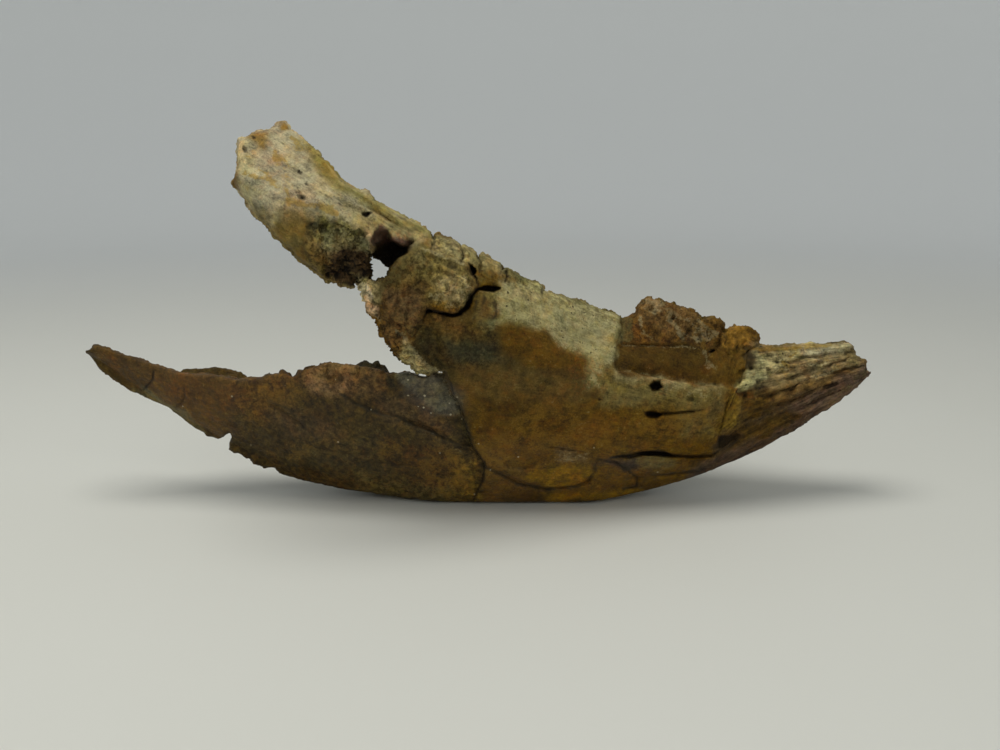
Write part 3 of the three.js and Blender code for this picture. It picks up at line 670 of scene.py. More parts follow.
def bone_field():
    """About the distance to the bone's surface over (u, width, v), negative inside."""
    field = np.full((len(U), len(WIDTHS), len(V)), OUTSIDE, np.float32)
    for side, plates in PLATES.items():
        for edge, outer, inner, floor in plates:
            outer_slope, inner_slope = steepness(outer), steepness(inner)
            for j, width in enumerate(WIDTHS):
                out = side * width
                if out < -SEAM - CELL:
                    continue
                x, z = from_grid(U, V, out)
                under = floor(x)[:, None] - z[None, :]
                skin = smooth_max((out - outer) / outer_slope, under, KEEL_ROUNDING)
                solid = np.maximum(np.maximum(skin, (inner - out) / inner_slope), edge)
                field[:, j, :] = np.minimum(field[:, j, :], solid)
    return field


def surface_net(field):
    """Points (grid units) and four-cornered faces where a field passes zero."""
    inside = field < 0
    corners = [(i, j, k) for i in (0, 1) for j in (0, 1) for k in (0, 1)]
    shape = tuple(n - 1 for n in field.shape)
    count = np.zeros(shape, np.int8)
    for i, j, k in corners:
        count += inside[i : i + shape[0], j : j + shape[1], k : k + shape[2]]
    cells = np.argwhere((count > 0) & (count < 8))
    number = np.full(shape, -1, np.int32)
    number[tuple(cells.T)] = np.arange(len(cells))
    values = {c: field[tuple((cells + c).T)] for c in corners}
    total = np.zeros((len(cells), 3))
    crossings = np.zeros(len(cells))
    for a in corners:
        for axis in range(3):
            if a[axis]:
                continue
            b = tuple(1 if n == axis else a[n] for n in range(3))
            low, high = values[a], values[b]
            crossed = (low < 0) != (high < 0)
            step = np.where(crossed, low / np.where(crossed, low - high, 1), 0)
            point = np.array(a, float) + step[:, None] * (np.arange(3) == axis)
            total += point * crossed[:, None]
            crossings += crossed
    points = cells + total / crossings[:, None]

    faces = []
    for axis in range(3):
        p, q = (axis + 1) % 3, (axis + 2) % 3
        low = [slice(1, -1)] * 3
        high = [slice(1, -1)] * 3
        low[axis], high[axis] = slice(0, -1), slice(1, None)
        start, end = inside[tuple(low)], inside[tuple(high)]
        edges = np.argwhere(start != end)
        leaves = start[tuple(edges.T)]
        offset = np.array([1, 1, 1])
        offset[axis] = 0
        base = edges + offset
        ring = []
        for dp, dq in ((0, 0), (-1, 0), (-1, -1), (0, -1)):
            cell = base.copy()
            cell[:, p] += dp
            cell[:, q] += dq
            ring.append(number[tuple(cell.T)])
        ring = np.stack(ring, axis=1)
        faces.append(np.where(leaves[:, None], ring, ring[:, ::-1]))
    return points, np.concatenate(faces)


def to_bone(points):
    """Grid units to millimetres on the bone."""
    u = U[0] + points[:, 0] * CELL
    width = WIDTHS[0] + points[:, 1] * CELL
    v = V[0] + points[:, 2] * CELL
    x, z = from_grid(u, v, np.abs(width))
    return np.stack([x, width, z], axis=1)


def build_mesh(name, points, faces):
    mesh = bpy.data.meshes.new(name)
    mesh.vertices.add(len(points))
    mesh.vertices.foreach_set("co", points.astype(np.float32).ravel())
    mesh.loops.add(faces.size)
    mesh.loops.foreach_set("vertex_index", faces.astype(np.int32).ravel())
    mesh.polygons.add(len(faces))
    mesh.polygons.foreach_set("loop_start", np.arange(0, faces.size, 4, dtype=np.int32))
    mesh.update(calc_edges=True)
    mesh.validate()
    return mesh


def read_vectors(mesh, source, field):
    values = np.empty(len(source) * 3, np.float32)
    source.foreach_get(field, values)
    return values.reshape(-1, 3).astype(float)


# ---------------------------------------------------------------------------------------------
# Colours, and where they lie in the side view. Places are (u, v) on the grid, mm.

LIGHTEN = 1.42  # how much paler the bone is than it looks in a dim room


def shade(red, green, blue):
    """A colour as seen, 0 to 255, as the bone's own linear colour."""
    return tuple(LIGHTEN * (channel / 255) ** 2.2 for channel in (red, green, blue))


IVORY = shade(143, 133, 106)
BUFF = shade(122, 113, 64)
CREAM = shade(124, 117, 79)
TAN = shade(130, 119, 82)
ASH = shade(108, 103, 76)
SANDY = shade(100, 88, 52)
HONEY = shade(120, 98, 54)
FLANK = shade(110, 99, 66)
OLIVE = shade(98, 92, 56)
FAWN = shade(92, 72, 42)
TAUPE = shade(72, 58, 36)
MAUVE = shade(112, 98, 68)
RUST = shade(80, 60, 20)
RUSSET = shade(78, 58, 27)
BARK = shade(70, 53, 21)
OCHRE = shade(86, 63, 12)
GOLD = shade(106, 80, 12)
AMBER = shade(86, 64, 24)
UMBER = shade(80, 64, 33)
EARTH = shade(68, 57, 31)
MOSS = shade(76, 59, 20)
DEEP = shade(66, 50, 15)
PLUM = shade(60, 48, 37)
CHOCOLATE = shade(62, 50, 25)
IRON = shade(82, 77, 60)
GREYGREEN = shade(84, 76, 50)
SLATE = shade(58, 56, 39)
SOOT = shade(59, 52, 31)
STRAW = shade(154, 143, 112)
GINGER = shade(126, 94, 40)
CHAR = shade(58, 47, 32)
BONE = shade(186, 172, 142)
NUT = shade(104, 88, 50)
BROWN = shade(86, 68, 43)
LOAM = shade(65, 51, 24)
LOESS = shade(92, 77, 42)
# A dim brown for painted shade
SHADED_BROWN = shade(84, 68, 56)
SILT = shade(80, 69, 40)
CLAY = shade(110, 88, 60)
ROSE = shade(122, 108, 74)
SHELL = shade(178, 150, 118)
BRASS = shade(98, 78, 30)

# Regions that more than one table names, (u, v)
WING_CORNER = [(-116, 183), (-111, 187), (-106, 187), (-105, 183), (-107, 177), (-109, 177), (-114, 180)]
WING_TOP = [(-100.5, 191), (-97, 192.5), (-94.5, 189), (-96.5, 187), (-100, 187.5)]
UNDER_CAP = [(-20, 83), (8, 81), (8, 71), (-14, 71)]
CAP_TIP = [(-23, 114), (-15, 115), (-3, 115), (-5, 105), (-12, 101), (-23, 103)]
CAP_SIDE = [
    (-54, 114), (-28.5, 130), (-4, 122), (-1, 111), (-9.5, 95.5), (-29, 86.5), (-42.5, 83), (-55, 102),
]
BROKEN_RIM = [(-64, 115), (-53, 113), (-50, 96.5), (-34, 79), (-19, 66.5), (-31.5, 62.5), (-51.5, 79.5)]
CUTTING_BAND = [
    (-25, 137.5), (-4, 132.5), (16, 122), (40.5, 108), (72.5, 95.5), (67.5, 90.5), (30.5, 105), (10, 113),
    (-4, 121), (-24.5, 127),
]
SLAB_END = [(123.5, 88.5), (132.5, 90.5), (141.5, 85.5), (139.5, 78), (124, 76)]
TIP_SEAM = [
    (131.5, 55.5), (137, 52), (135.5, 43.5), (135, 33.5), (128.5, 32.5), (124.5, 32), (125, 35.5),
    (127, 43), (128, 49.5),
]
KNOB_STAIN = [(134, 56), (142.5, 56), (143, 52), (135.5, 51.5)]

# Areas of colour in painting order: colour, softness, outline
TONES = [
    (EARTH, 5, [(-27, 95), (10, 95), (33, 90), (56, 74), (57, 56), (41, 50), (-6, 50), (-18, 64)]),
    (RUST, 4, [(10, 93), (33, 92), (42, 80), (55, 76), (54, 65), (25, 68), (13, 77)]),
    (UMBER, 5, [(-15, 69), (41, 65), (62, 51), (41, 37), (10, 40), (-10, 43)]),
    (AMBER, 8, [(-6, 51), (41, 51), (67, 44), (114, 43), (121, 29), (62, 24), (20, 21), (0, 29)]),
    (BARK, 5, [(-3, 53), (22, 51), (24, 35), (2, 31)]),
    (LOESS, 4, [(101, 46), (124, 47), (123, 32), (106, 31)]),
    (AMBER, 4, [(-6, 21), (20, 21), (31, -4), (2, -7), (-8, 2)]),
    (DEEP, 5, [(21, 2), (73, 2), (125, 21), (146, 29), (139, 13), (84, -6), (10, -10)]),
    (GOLD, 2, [(29, 13), (41, 16), (60, 15), (62, 10), (55, 4), (34, 4), (25, 7)]),
    (GOLD, 1.5, [(34, -0.5), (63, 1.5), (84, 4), (89, 1.5), (68, -3), (36.5, -3.5)]),
    (PLUM, 2, [(60, 18), (83, 20), (86, 16), (83, 11), (77, 11), (69, 16)]),
    (LOESS, 2, [(82, 20), (94, 22), (103, 19), (102, 15), (89, 11), (83, 14)]),
    (OCHRE, 2.5, [(89, 10), (115, 15), (121, 14), (94, 3), (86, 4)]),
    (FAWN, 1.5, [(39.5, 25), (45.5, 24.5), (57, 20.5), (57, 18.5), (40.5, 18)]),
    (CHOCOLATE, 2.5, [(-215, 87), (-93, 80), (-16, 77), (-10, 51), (3, 15), (0, -15), (-223, -15)]),
    (RUSSET, 6, [(-203, 80), (-152, 71), (-127, 61), (-132, 29), (-172, 48)]),
    (RUSSET, 5, [(-124, 64), (-93, 69), (-96, 51), (-114, 40), (-127, 48)]),
    (FAWN, 4, [(-90, 65), (-77, 73), (-48, 66), (-54, 51), (-73, 52), (-92, 59)]),
    (CLAY, 4, [(-88, 65), (-78, 72), (-65, 70), (-68, 56), (-78, 54), (-87, 58)]),
    (FAWN, 1.5, [(-81, 64.5), (-75.5, 66.5), (-72.5, 62.5), (-76, 57.5), (-80.5, 59)]),
    (SOOT, 1, [(-49, 64), (-45.5, 64), (-46, 57), (-49, 57.5)]),
    (TAUPE, 4, [(-50, 52), (-40, 52), (-21, 39), (-9, 31), (-12, 26), (-37, 35), (-54, 44)]),
    (TAUPE, 6, [(-111, 47), (-96, 46), (-79, 38), (-71, 31), (-79, 26), (-97, 29), (-110, 39)]),
    (EARTH, 6, [(-95, 29), (-53, 35), (-11, 29), (2, 13), (-2, -7), (-43, -4), (-90, 5)]),
    (LOAM, 5, [(-53, 31), (-16, 25), (-14, 7), (-27, 2), (-48, 13)]),
    (BRASS, 3, [(-16, 23), (-2, 17), (0, -5), (-13, -4)]),
    (CHOCOLATE, 4, [(-128, 23), (-95, 14), (-64, 8), (-64, -4), (-96, 1), (-132, 17)]),
    (SILT, 4, [(-64, 11), (-43, 7), (-13, 3), (-13, -10), (-64, -6)]),
    (IRON, 1.5, [(-44, 64.5), (-34.5, 66), (-31.5, 63.5), (-20.5, 65), (-17.5, 56), (-11, 49.5), (-9, 43),
     (-15, 42), (-27.5, 46.5), (-31.5, 51.5), (-39.5, 55)]),
    (GREYGREEN, 1.5, [(-184.5, 58), (-175, 58), (-163.5, 49.5), (-159, 47), (-153, 44), (-146.5, 38),
     (-143.5, 32.5), (-149, 29), (-172, 45.5), (-187, 55)]),
    (IVORY, 3, [(-124, 195), (-93, 196), (-64, 164), (-24, 139), (-30, 128), (-55, 122), (-64, 107),
     (-91, 122), (-121, 151)]),
    (BUFF, 3, [(-90, 188), (-78, 177), (-64, 161), (-52, 153), (-24, 138), (-33, 134), (-54, 146),
     (-67, 157), (-80, 167), (-86, 177)]),
    (HONEY, 2, WING_CORNER),
    (HONEY, 1, WING_TOP),
    (STRAW, 2, [(-119, 175), (-114, 175), (-111, 170), (-114, 167), (-120, 167)]),
    (FLANK, 3.5, [(-116, 152), (-108, 150), (-98, 149), (-78, 146), (-66, 140), (-55, 130), (-55, 109),
     (-76, 108), (-118, 142)]),
    (STRAW, 3, [(-120, 157), (-109, 155), (-98, 150), (-104, 143), (-115, 149)]),
    (NUT, 2.5, [(-103, 142), (-96, 145), (-86, 144), (-84, 137), (-91, 133), (-100, 134)]),
    (LOESS, 3, [(-98, 132), (-83, 133), (-74, 122), (-75, 111), (-91, 122)]),
    (ASH, 2, [(-79, 142), (-68, 143), (-56, 135), (-54, 128), (-66, 127), (-78, 129)]),
    (SLATE, 2, [(-87, 142), (-80, 143), (-79, 138), (-86, 137)]),
    (OLIVE, 1.5, [(-79.5, 143.5), (-69, 143.5), (-70.5, 141), (-78.5, 140.5)]),
    (CHAR, 2, [(-74, 129), (-65, 131), (-55, 128), (-53, 118), (-63, 108), (-73, 111), (-77, 119)]),
    (TAN, 3, [(-68, 151), (-52, 146), (-26, 135), (-34, 127), (-44, 135), (-62, 142)]),
    # Painted shade in the hollow beside the window: a dim brown above and a darker one below
    (SHADED_BROWN, 1, [(-55, 134.5), (-53.5, 138), (-51, 140), (-45, 138), (-44, 134), (-40.5, 132.5), (-33.5, 133),
     (-36.5, 127), (-42.5, 121.5), (-46.5, 118.5), (-53.5, 123.5)]),
    (SOOT, 1.5, [(-54.5, 130), (-44.5, 129.5), (-36.5, 128), (-42.5, 121.5), (-46.5, 118.5),
     (-53.5, 123.5)]),
    (UMBER, 3, [(-54, 114), (-28, 130), (-20, 122), (-27, 103), (-29, 86), (-42, 83), (-55, 102)]),
    (SANDY, 3, [(-34, 130), (-25, 131), (-5, 123), (-2, 111), (-10, 96), (-27, 102), (-25, 120)]),
    (BROWN, 3, [(-53, 110), (-29, 107), (-31, 92), (-42, 85)]),
    (FAWN, 3, [(-48, 95), (-35, 95), (-34, 83), (-41, 80), (-47, 87)]),
    (SANDY, 3, [(-42, 122), (-30, 127), (-21, 122), (-25, 113), (-37, 111)]),
    (ROSE, 2.5, CAP_TIP),
    (SANDY, 1, [(-7, 115), (-2, 114), (-3, 110), (-5, 107), (-7.5, 110)]),
    (OLIVE, 1, [(-9.5, 102), (-5, 107), (-4, 104), (-9.5, 96.5), (-13.5, 95.5)]),
    (TAN, 2, [(-64, 116), (-52, 114), (-51, 103), (-58, 97), (-65, 108)]),
    (BONE, 0.6, [(-64.5, 112.5), (-60.5, 112), (-56, 105), (-56.5, 101), (-62, 105)]),
    (SHELL, 1, [(-61, 105), (-58, 103), (-53, 100), (-53, 94.5), (-58.5, 97.5)]),
    (FAWN, 2, [(-54, 97), (-47, 94), (-39, 83), (-35, 77), (-31, 71), (-49, 80)]),
    (TAN, 1.5, [(-39.5, 80), (-35, 79), (-29, 71.5), (-19, 65.5), (-31.5, 62.5), (-41.5, 74)]),
    (SOOT, 2.5, [(-30, 90), (-21, 89), (-18, 65), (-29, 69), (-36, 80)]),
    (UMBER, 3, [(-28, 96), (-5, 96), (-3, 87), (-16, 82), (-25, 86)]),
    (SANDY, 2, [(-3, 104), (0, 107), (6, 108), (11, 104), (9, 93), (3, 88), (-3, 92)]),
    (FAWN, 1.5, [(-1.5, 104), (4.5, 103), (4, 94.5), (-1, 93.5)]),
    (CREAM, 2, [(4, 92), (10, 94), (13, 90), (8, 87)]),
    (SLATE, 3, UNDER_CAP),
    (TAN, 2, [(-25, 137), (-4, 132), (16, 122), (22, 118), (10, 115), (-4, 122), (-24, 128)]),
    (OLIVE, 2, [(13, 122), (40, 108), (72, 96), (67, 92), (30, 107), (10, 116)]),
    (CREAM, 3.5, [(10, 112), (33, 111), (72, 94), (74, 80), (70, 70), (63, 68), (60, 55), (55, 55),
     (55, 71), (41, 80), (33, 89), (13, 90), (6, 100)]),
    (FAWN, 1, [(5.5, 103), (9.5, 102.5), (9, 93.5), (6, 93.5)]),
    (SANDY, 5, [(60, 66), (82, 64), (113, 58), (128, 57), (127, 46), (93, 47), (62, 50)]),
    (SANDY, 4, [(58, 65), (69, 64), (85, 59), (87, 50), (64, 50)]),
    (TAN, 2, [(69, 68), (87, 64), (101, 60), (128, 60), (126, 57), (116, 57), (108, 54), (95, 56), (87, 60),
     (68, 63)]),
    (RUSSET, 1.5, [(72, 103), (81, 106), (123.5, 93.5), (141.5, 88.5), (142, 76), (135, 58), (113.5, 58),
     (70, 64.5), (70.5, 77)]),
    (BARK, 1.5, [(69.5, 79), (115.5, 80), (120.5, 60), (82.5, 63.5), (67.5, 69.5)]),
    (FAWN, 2, [(81, 103), (108, 97), (115, 87), (107, 82), (81, 94)]),
    (GINGER, 1.5, SLAB_END),
    (AMBER, 1.5, [(118, 76), (137.5, 77), (140.5, 68.5), (137, 58), (130, 57), (118.5, 59)]),
    (MAUVE, 3, [(142, 80), (189, 86), (204, 65), (167, 33), (133, 23), (127, 45), (136, 57), (140, 69)]),
    (FAWN, 4, [(140, 55), (165, 61), (190, 72), (202, 66), (166, 44), (143, 43)]),
    (CREAM, 2, [(143, 75), (154, 79), (164, 78), (168, 72), (157, 69), (149, 63), (138, 55), (134, 59),
     (139, 68)]),
    (IVORY, 2, [(164, 80), (189, 85), (194, 79), (183, 76), (167, 74)]),
    (BARK, 4, [(134, 53), (149, 56), (152, 46), (143, 38), (134, 33)]),
    (BRASS, 1.5, TIP_SEAM),
    (RUSSET, 1.5, KNOB_STAIN),
    # Painted shade on the tip's underside: dim browns darkening towards its lower edge
    (SHADED_BROWN, 3, [(127, 35), (141, 38), (160, 50), (200, 70), (208, 63), (167, 27), (110, 4), (110, 13),
     (123, 22)]),
    (BARK, 3, [(127, 35), (141, 38), (158, 47), (166, 40), (151, 31), (123, 21)]),
    (PLUM, 3, [(123, 20), (151, 31), (176, 44), (196, 58), (202, 56), (167, 27), (110, 4), (110, 11)]),
    (CHAR, 1.5, [(123.5, 32), (134, 33.5), (138.5, 31.5), (132, 28), (126.5, 24.5), (122.5, 23)]),
]
# How rough the outer skin is: height, softness, outline
ROUGH = [
    (2.2, 3, [(-80, 128), (-53.5, 131.5), (-52, 117), (-65, 108), (-78, 113)]),
    (1.3, 3, [(-88.5, 141.5), (-65, 144), (-53.5, 134.5), (-76, 127), (-91, 130.5)]),
    (0.5, 3, [(-117, 154), (-90, 147), (-91, 122), (-118, 142.5)]),
    (0.4, 3, [(-67.5, 155), (-50, 151), (-24, 137.5), (-34.5, 127), (-44.5, 133.5), (-62, 145)]),
    (0.35, 2, CUTTING_BAND),
    (0.75, 3, CAP_SIDE),
    (1.3, 2, BROKEN_RIM),
    (1, 2, [(81, 106), (112, 103), (123.5, 93.5), (141.5, 87.5), (142, 76), (124, 74), (112.5, 79),
     (107, 92.5), (81.5, 96.5)]),
    (0.45, 3, [(72, 103), (107, 93.5), (116, 79), (71.5, 77)]),
    (0.5, 3, [(132, 78), (189, 86.5), (204, 65.5), (166.5, 33.5), (133, 22.5), (126.5, 47.5)]),
    (0.6, 3, [(-93, 71.5), (-46.5, 70.5), (-16, 65.5), (-7.5, 41), (-26.5, 40), (-52, 52.5), (-93.5, 61)]),
    (0.3, 3, [(-129.5, 64), (-93.5, 61), (1.5, 34.5), (0.5, -7), (-127, 7.5)]),
    (0.5, 4, [(-21.5, 24), (1.5, 15), (0.5, -7), (-32.5, -3.5)]),
    (0.35, 4, [(10, 111), (72.5, 93.5), (69.5, 79.5), (41, 82), (13, 91.5)]),
    (0.35, 4, [(61.5, 66.5), (128, 57), (128.5, 47.5), (82.5, 45.5)]),
]
# Where the bone's fibres show: strength, softness, outline
STREAKED = [
    (1, 4, [(130.5, 78), (189, 87.5), (206, 66.5), (167, 29), (115.5, 7.5), (126, 34.5), (126.5, 47.5)]),
    (0.6, 3, [(-69.5, 165), (-61.5, 161), (-24, 138.5), (-34.5, 131.5), (-44.5, 136.5), (-62, 146),
     (-75, 158)]),
    (0.5, 3, CUTTING_BAND),
    (0.2, 5, [(-124, 194.5), (-93.5, 196), (-63.5, 164), (-60, 146), (-109, 153)]),
    (0.45, 4, [(-5, 109), (10, 108), (10, 87.5), (-5.5, 87.5)]),
    (0.4, 5, [(41.5, 29), (125, 29), (115.5, 7.5), (41.5, 7.5)]),
    (0.35, 5, [(61.5, 66.5), (126, 56), (126, 29), (62.5, 29)]),
]
# Masks as areas: strength, softness, outline
AREAS = {
    "cream_and_highlight": [
        (0.95, 3.5, [(10, 111), (33, 110), (70.5, 93.5), (68.5, 79.5), (67.5, 70.5), (61.5, 67.5), (59, 56),
         (55, 56), (56.5, 71.5), (41, 79.5), (33, 89.5), (13, 91.5), (7, 100)]),
        (0.9, 2, [(143.5, 75), (159, 79), (165, 76), (157.5, 68.5), (148.5, 63.5), (138.5, 56), (136, 60),
         (140, 67.5)]),
        (0.5, 1.5, [(164, 79), (188.5, 83.5), (192.5, 79.5), (174.5, 75.5)]),
        (0.3, 3, [(67.5, 67.5), (87.5, 63.5), (113.5, 57), (126, 56), (126, 50.5), (103.5, 51.5),
         (82.5, 58)]),
        (0.9, 4, [(-106.5, 185.5), (-101, 189), (-93.5, 184.5), (-86, 173), (-67.5, 155), (-50, 144),
         (-67.5, 146), (-89, 155), (-99, 173)]),
        (0.7, 3, [(-121.5, 164), (-108.5, 159), (-90, 153), (-109, 152), (-120, 155)]),
        (0.5, 3, [(-20.5, 114), (-3, 113), (-5.5, 103), (-15.5, 96.5), (-25.5, 104)]),
        (0.7, 1.5, [(-63.5, 112), (-60, 111), (-56, 103), (-59, 102)]),
        (0.7, 2, [(-39.5, 79), (-31, 73), (-21, 65.5), (-31.5, 64.5)]),
        (0.5, 2, [(77.5, 100), (86.5, 103), (107, 94.5), (91.5, 96.5)]),
        (0.5, 2, [(107, 93.5), (113, 92.5), (121, 82), (109.5, 82)]),
        (0.6, 2, [(87.5, 102), (99.5, 97.5), (100, 93.5), (91.5, 96.5)]),
        (0.4, 3, [(41.5, 24), (57, 22.5), (55, 16), (39.5, 18.5)]),
    ],
    "ochre": [
        (0.2, 2, TIP_SEAM),
        (0.4, 2, SLAB_END),
        (0.5, 6, [(20.5, 50.5), (41, 45.5), (62.5, 29), (20.5, 22.5), (5, 29)]),
        (0.5, 5, [(83, 44), (120, 46.5), (120.5, 31.5), (83, 29)]),
        (0.7, 4, [(-3.5, 29), (10, 22.5), (26, 13), (4.5, 13)]),
        (0.15, 3, [(81.5, 103), (91.5, 103), (94, 87.5), (83, 84.5)]),
        (0.8, 2, [(107.5, 81), (115.5, 83), (117, 77), (109.5, 76)]),
        (0.5, 8, [(-124.5, 60), (-93.5, 63.5), (-83.5, 50.5), (-120, 40)]),
        (0.6, 6, [(-26.5, 26), (-8, 24), (-0.5, 7.5), (-2.5, -3.5), (-21.5, -6), (-32, 13)]),
        (0.5, 4, [(-52.5, 29), (-39.5, 29), (-40.5, 18.5), (-55, 17)]),
        (0.5, 4, [(-99.5, 29), (-85, 30.5), (-85.5, 21.5), (-102, 20.5)]),
        (0.35, 2.5, [(-102.5, 142.5), (-92, 145), (-85.5, 140.5), (-87.5, 134.5), (-98.5, 134.5)]),
        (0.85, 1.5, [(-96, 152.5), (-85, 151), (-75, 150), (-71.5, 146.5), (-80, 146.5), (-90, 149)]),
        (0.25, 2.5, [(-5.5, 102), (0, 106), (3, 103), (2, 92.5), (-2.5, 91.5)]),
        (0.4, 1.5, WING_CORNER),
        (0.7, 1.5, [(-118, 176), (-113, 176.5), (-112, 174), (-117.5, 173.5)]),
        (0.6, 2, [(-103, 176.5), (-97, 174.5), (-94.5, 169), (-97.5, 167), (-102, 171)]),
        (0.6, 2, [(-97.5, 169), (-93.5, 168), (-93, 156), (-96, 157)]),
        (0.7, 1.5, [(-93.5, 184.5), (-89, 182), (-86, 176.5), (-89, 176.5)]),
        (0.7, 1.5, [(-78.5, 171), (-73.5, 168), (-74.5, 165), (-77.5, 166)]),
        (0.2, 1, [(-63, 111), (-58, 108), (-52, 97.5), (-57.5, 96.5)]),
        (0.7, 1, WING_TOP),
    ],
    "stain_and_shade": [
        (0.45, 4, UNDER_CAP),
        (0.8, 2, [(135.5, 77), (142.5, 77), (142, 69.5), (136.5, 69.5)]),
        (0.25, 6, [(-104.5, 44), (-78.5, 44), (-68, 34.5), (-79, 31.5)]),
        (0.2, 3, [(-32, 87.5), (-25, 84.5), (-23, 68.5), (-31, 74)]),
        (0.5, 4, [(-95, 21), (-42.5, 17), (-43.5, 10.5), (-95, 13)]),
        (0.3, 3, [(149, 46.5), (165.5, 52.5), (195.5, 67.5), (199, 62.5), (166, 40)]),
    ],
    "green": [
        (0.8, 2, [(67, 95.5), (77.5, 93.5), (76.5, 80), (69.5, 79)]),
        (0.7, 2, [(30.5, 111), (61, 101), (72.5, 94.5), (61, 95.5), (33, 107)]),
        (0.6, 3, [(-85, 178.5), (-54, 150.5), (-27.5, 137.5), (-38.5, 134.5), (-65, 153), (-80.5, 167)]),
        (0.4, 4, [(78, 21), (109.5, 22.5), (109, 13), (83.5, 10.5)]),
        (0.35, 4, [(-109.5, 145), (-98, 137.5), (-76, 118), (-86, 119), (-106.5, 135.5)]),
        (0.3, 4, [(-53.5, 93.5), (-31, 91.5), (-29, 79.5), (-41.5, 83)]),
        (0.6, 5, [(4, 97.5), (14, 98.5), (11, 87.5), (3, 87.5)]),
        (0.6, 3, [(195.5, 67.5), (203, 65.5), (191, 55), (176.5, 45.5), (191, 62.5)]),
        (0.7, 4, [(-5, 130), (12.5, 121), (10, 108), (-2.5, 112)]),
        (0.7, 3, [(-54, 116), (-35.5, 128), (-28.5, 129), (-40.5, 113), (-52, 103)]),
        (0.5, 5, [(40.5, 92.5), (69.5, 87.5), (67.5, 77), (48.5, 79.5)]),
    ],
    "gloss": [
        (1, 4, [(-44, 63.5), (-21, 64.5), (-9.5, 53.5), (-10, 41), (-26.5, 41), (-43, 50.5)]),
        (0.35, 8, [(-200.5, 77), (-93, 65.5), (-21, 65.5), (1.5, 15), (-1.5, -3.5), (-126, 24)]),
        (0.4, 8, [(-0.5, 29), (83.5, 24), (115, 13), (63, -2.5), (1.5, -6)]),
    ],
    "mottle": [
        (0.9, 4, CAP_SIDE),
        (0.12, 4, [(-120, 190), (-93.5, 192), (-89, 177.5), (-90, 153), (-109, 150.5), (-121.5, 160)]),
        (0.3, 3, [(-90.5, 186.5), (-64, 160.5), (-24, 138.5), (-33.5, 128), (-65, 148)]),
        (1, 3, [(-85, 145), (-65, 143), (-51.5, 130), (-53, 108), (-81.5, 110), (-87, 128)]),
        (0.35, 3, [(-117, 150.5), (-85, 145), (-86, 118), (-118, 141)]),
        (0.35, 3, [(-215, 87.5), (-118.5, 77), (-121, 18.5), (-223.5, -14.5)]),
        (0.8, 3, [(-129, 71.5), (-21, 77), (2.5, 15), (0.5, -14.5), (-138.5, -14.5)]),
        (0.8, 2, [(-37, 90.5), (10, 93.5), (10, 68.5), (-21, 64.5), (-39.5, 78)]),
        (0.9, 2, [(72, 105), (123.5, 93.5), (124, 79), (114.5, 80), (72.5, 81)]),
        (0.35, 2, [(123.5, 91.5), (141.5, 87.5), (142, 76), (121, 76)]),
        (0.9, 2, BROKEN_RIM),
        (0.4, 5, [(-5.5, 21), (125, 29), (115.5, 7.5), (-0.5, -9)]),
        (0.35, 3, [(131, 76), (164.5, 69), (200, 77), (204, 65.5), (166.5, 33.5), (128, 24)]),
        (0.7, 3, [(-25, 137.5), (16, 122), (72.5, 95.5), (67.5, 89.5), (10, 108), (-24.5, 125)]),
        (0.25, 4, [(10, 111), (40.5, 105), (46, 92.5), (20, 91.5), (10, 97.5)]),
        (0.35, 5, [(56.5, 68.5), (127, 58), (126, 29), (62, 34.5)]),
    ],
    "rust": [
        (0.2, 5, [(-203, 79.5), (-126, 65.5), (-126, 29), (-171.5, 48)]),
        (0.7, 3, [(48.5, 77), (63.5, 69.5), (62, 55), (51.5, 52.5), (44, 65.5)]),
        (0.3, 2.5, CAP_TIP),
        (0.15, 3, [(144, 65.5), (164.5, 70.5), (198, 76), (202, 65.5), (180.5, 59), (150, 50.5)]),
        (0.8, 1.5, [(86.5, 60), (99, 59), (99, 50.5), (90.5, 50.5)]),
        (1, 1, KNOB_STAIN),
        (0.12, 4, [(-124, 65.5), (-46.5, 70.5), (-54.5, 50.5), (-94.5, 24), (-126, 29)]),
        (0.6, 4, [(-42.5, 27), (-11, 26), (-16, 17), (-40.5, 18.5)]),
        (0.4, 5, [(-52.5, 34.5), (2.5, 15), (-6, -7), (-95.5, 7.5)]),
        (0.1, 2, [(72, 105), (123.5, 93.5), (121, 79.5), (72.5, 79.5)]),
        (0.35, 3, [(-51, 108), (-28.5, 103), (-31, 87.5), (-46.5, 87.5)]),
        (0.1, 4, [(-119.5, 187.5), (-103.5, 187.5), (-89.5, 163), (-116.5, 168)]),
        (0.1, 3, [(136.5, 58.5), (164.5, 69), (200, 76), (191, 58.5), (145.5, 37.5)]),
        (0.2, 3, [(10, 91.5), (40.5, 87.5), (54, 69), (20.5, 69)]),
        (0.7, 2.5, [(-53.5, 140.5), (-34.5, 135.5), (-35.5, 128), (-52.5, 128)]),
    ],
}
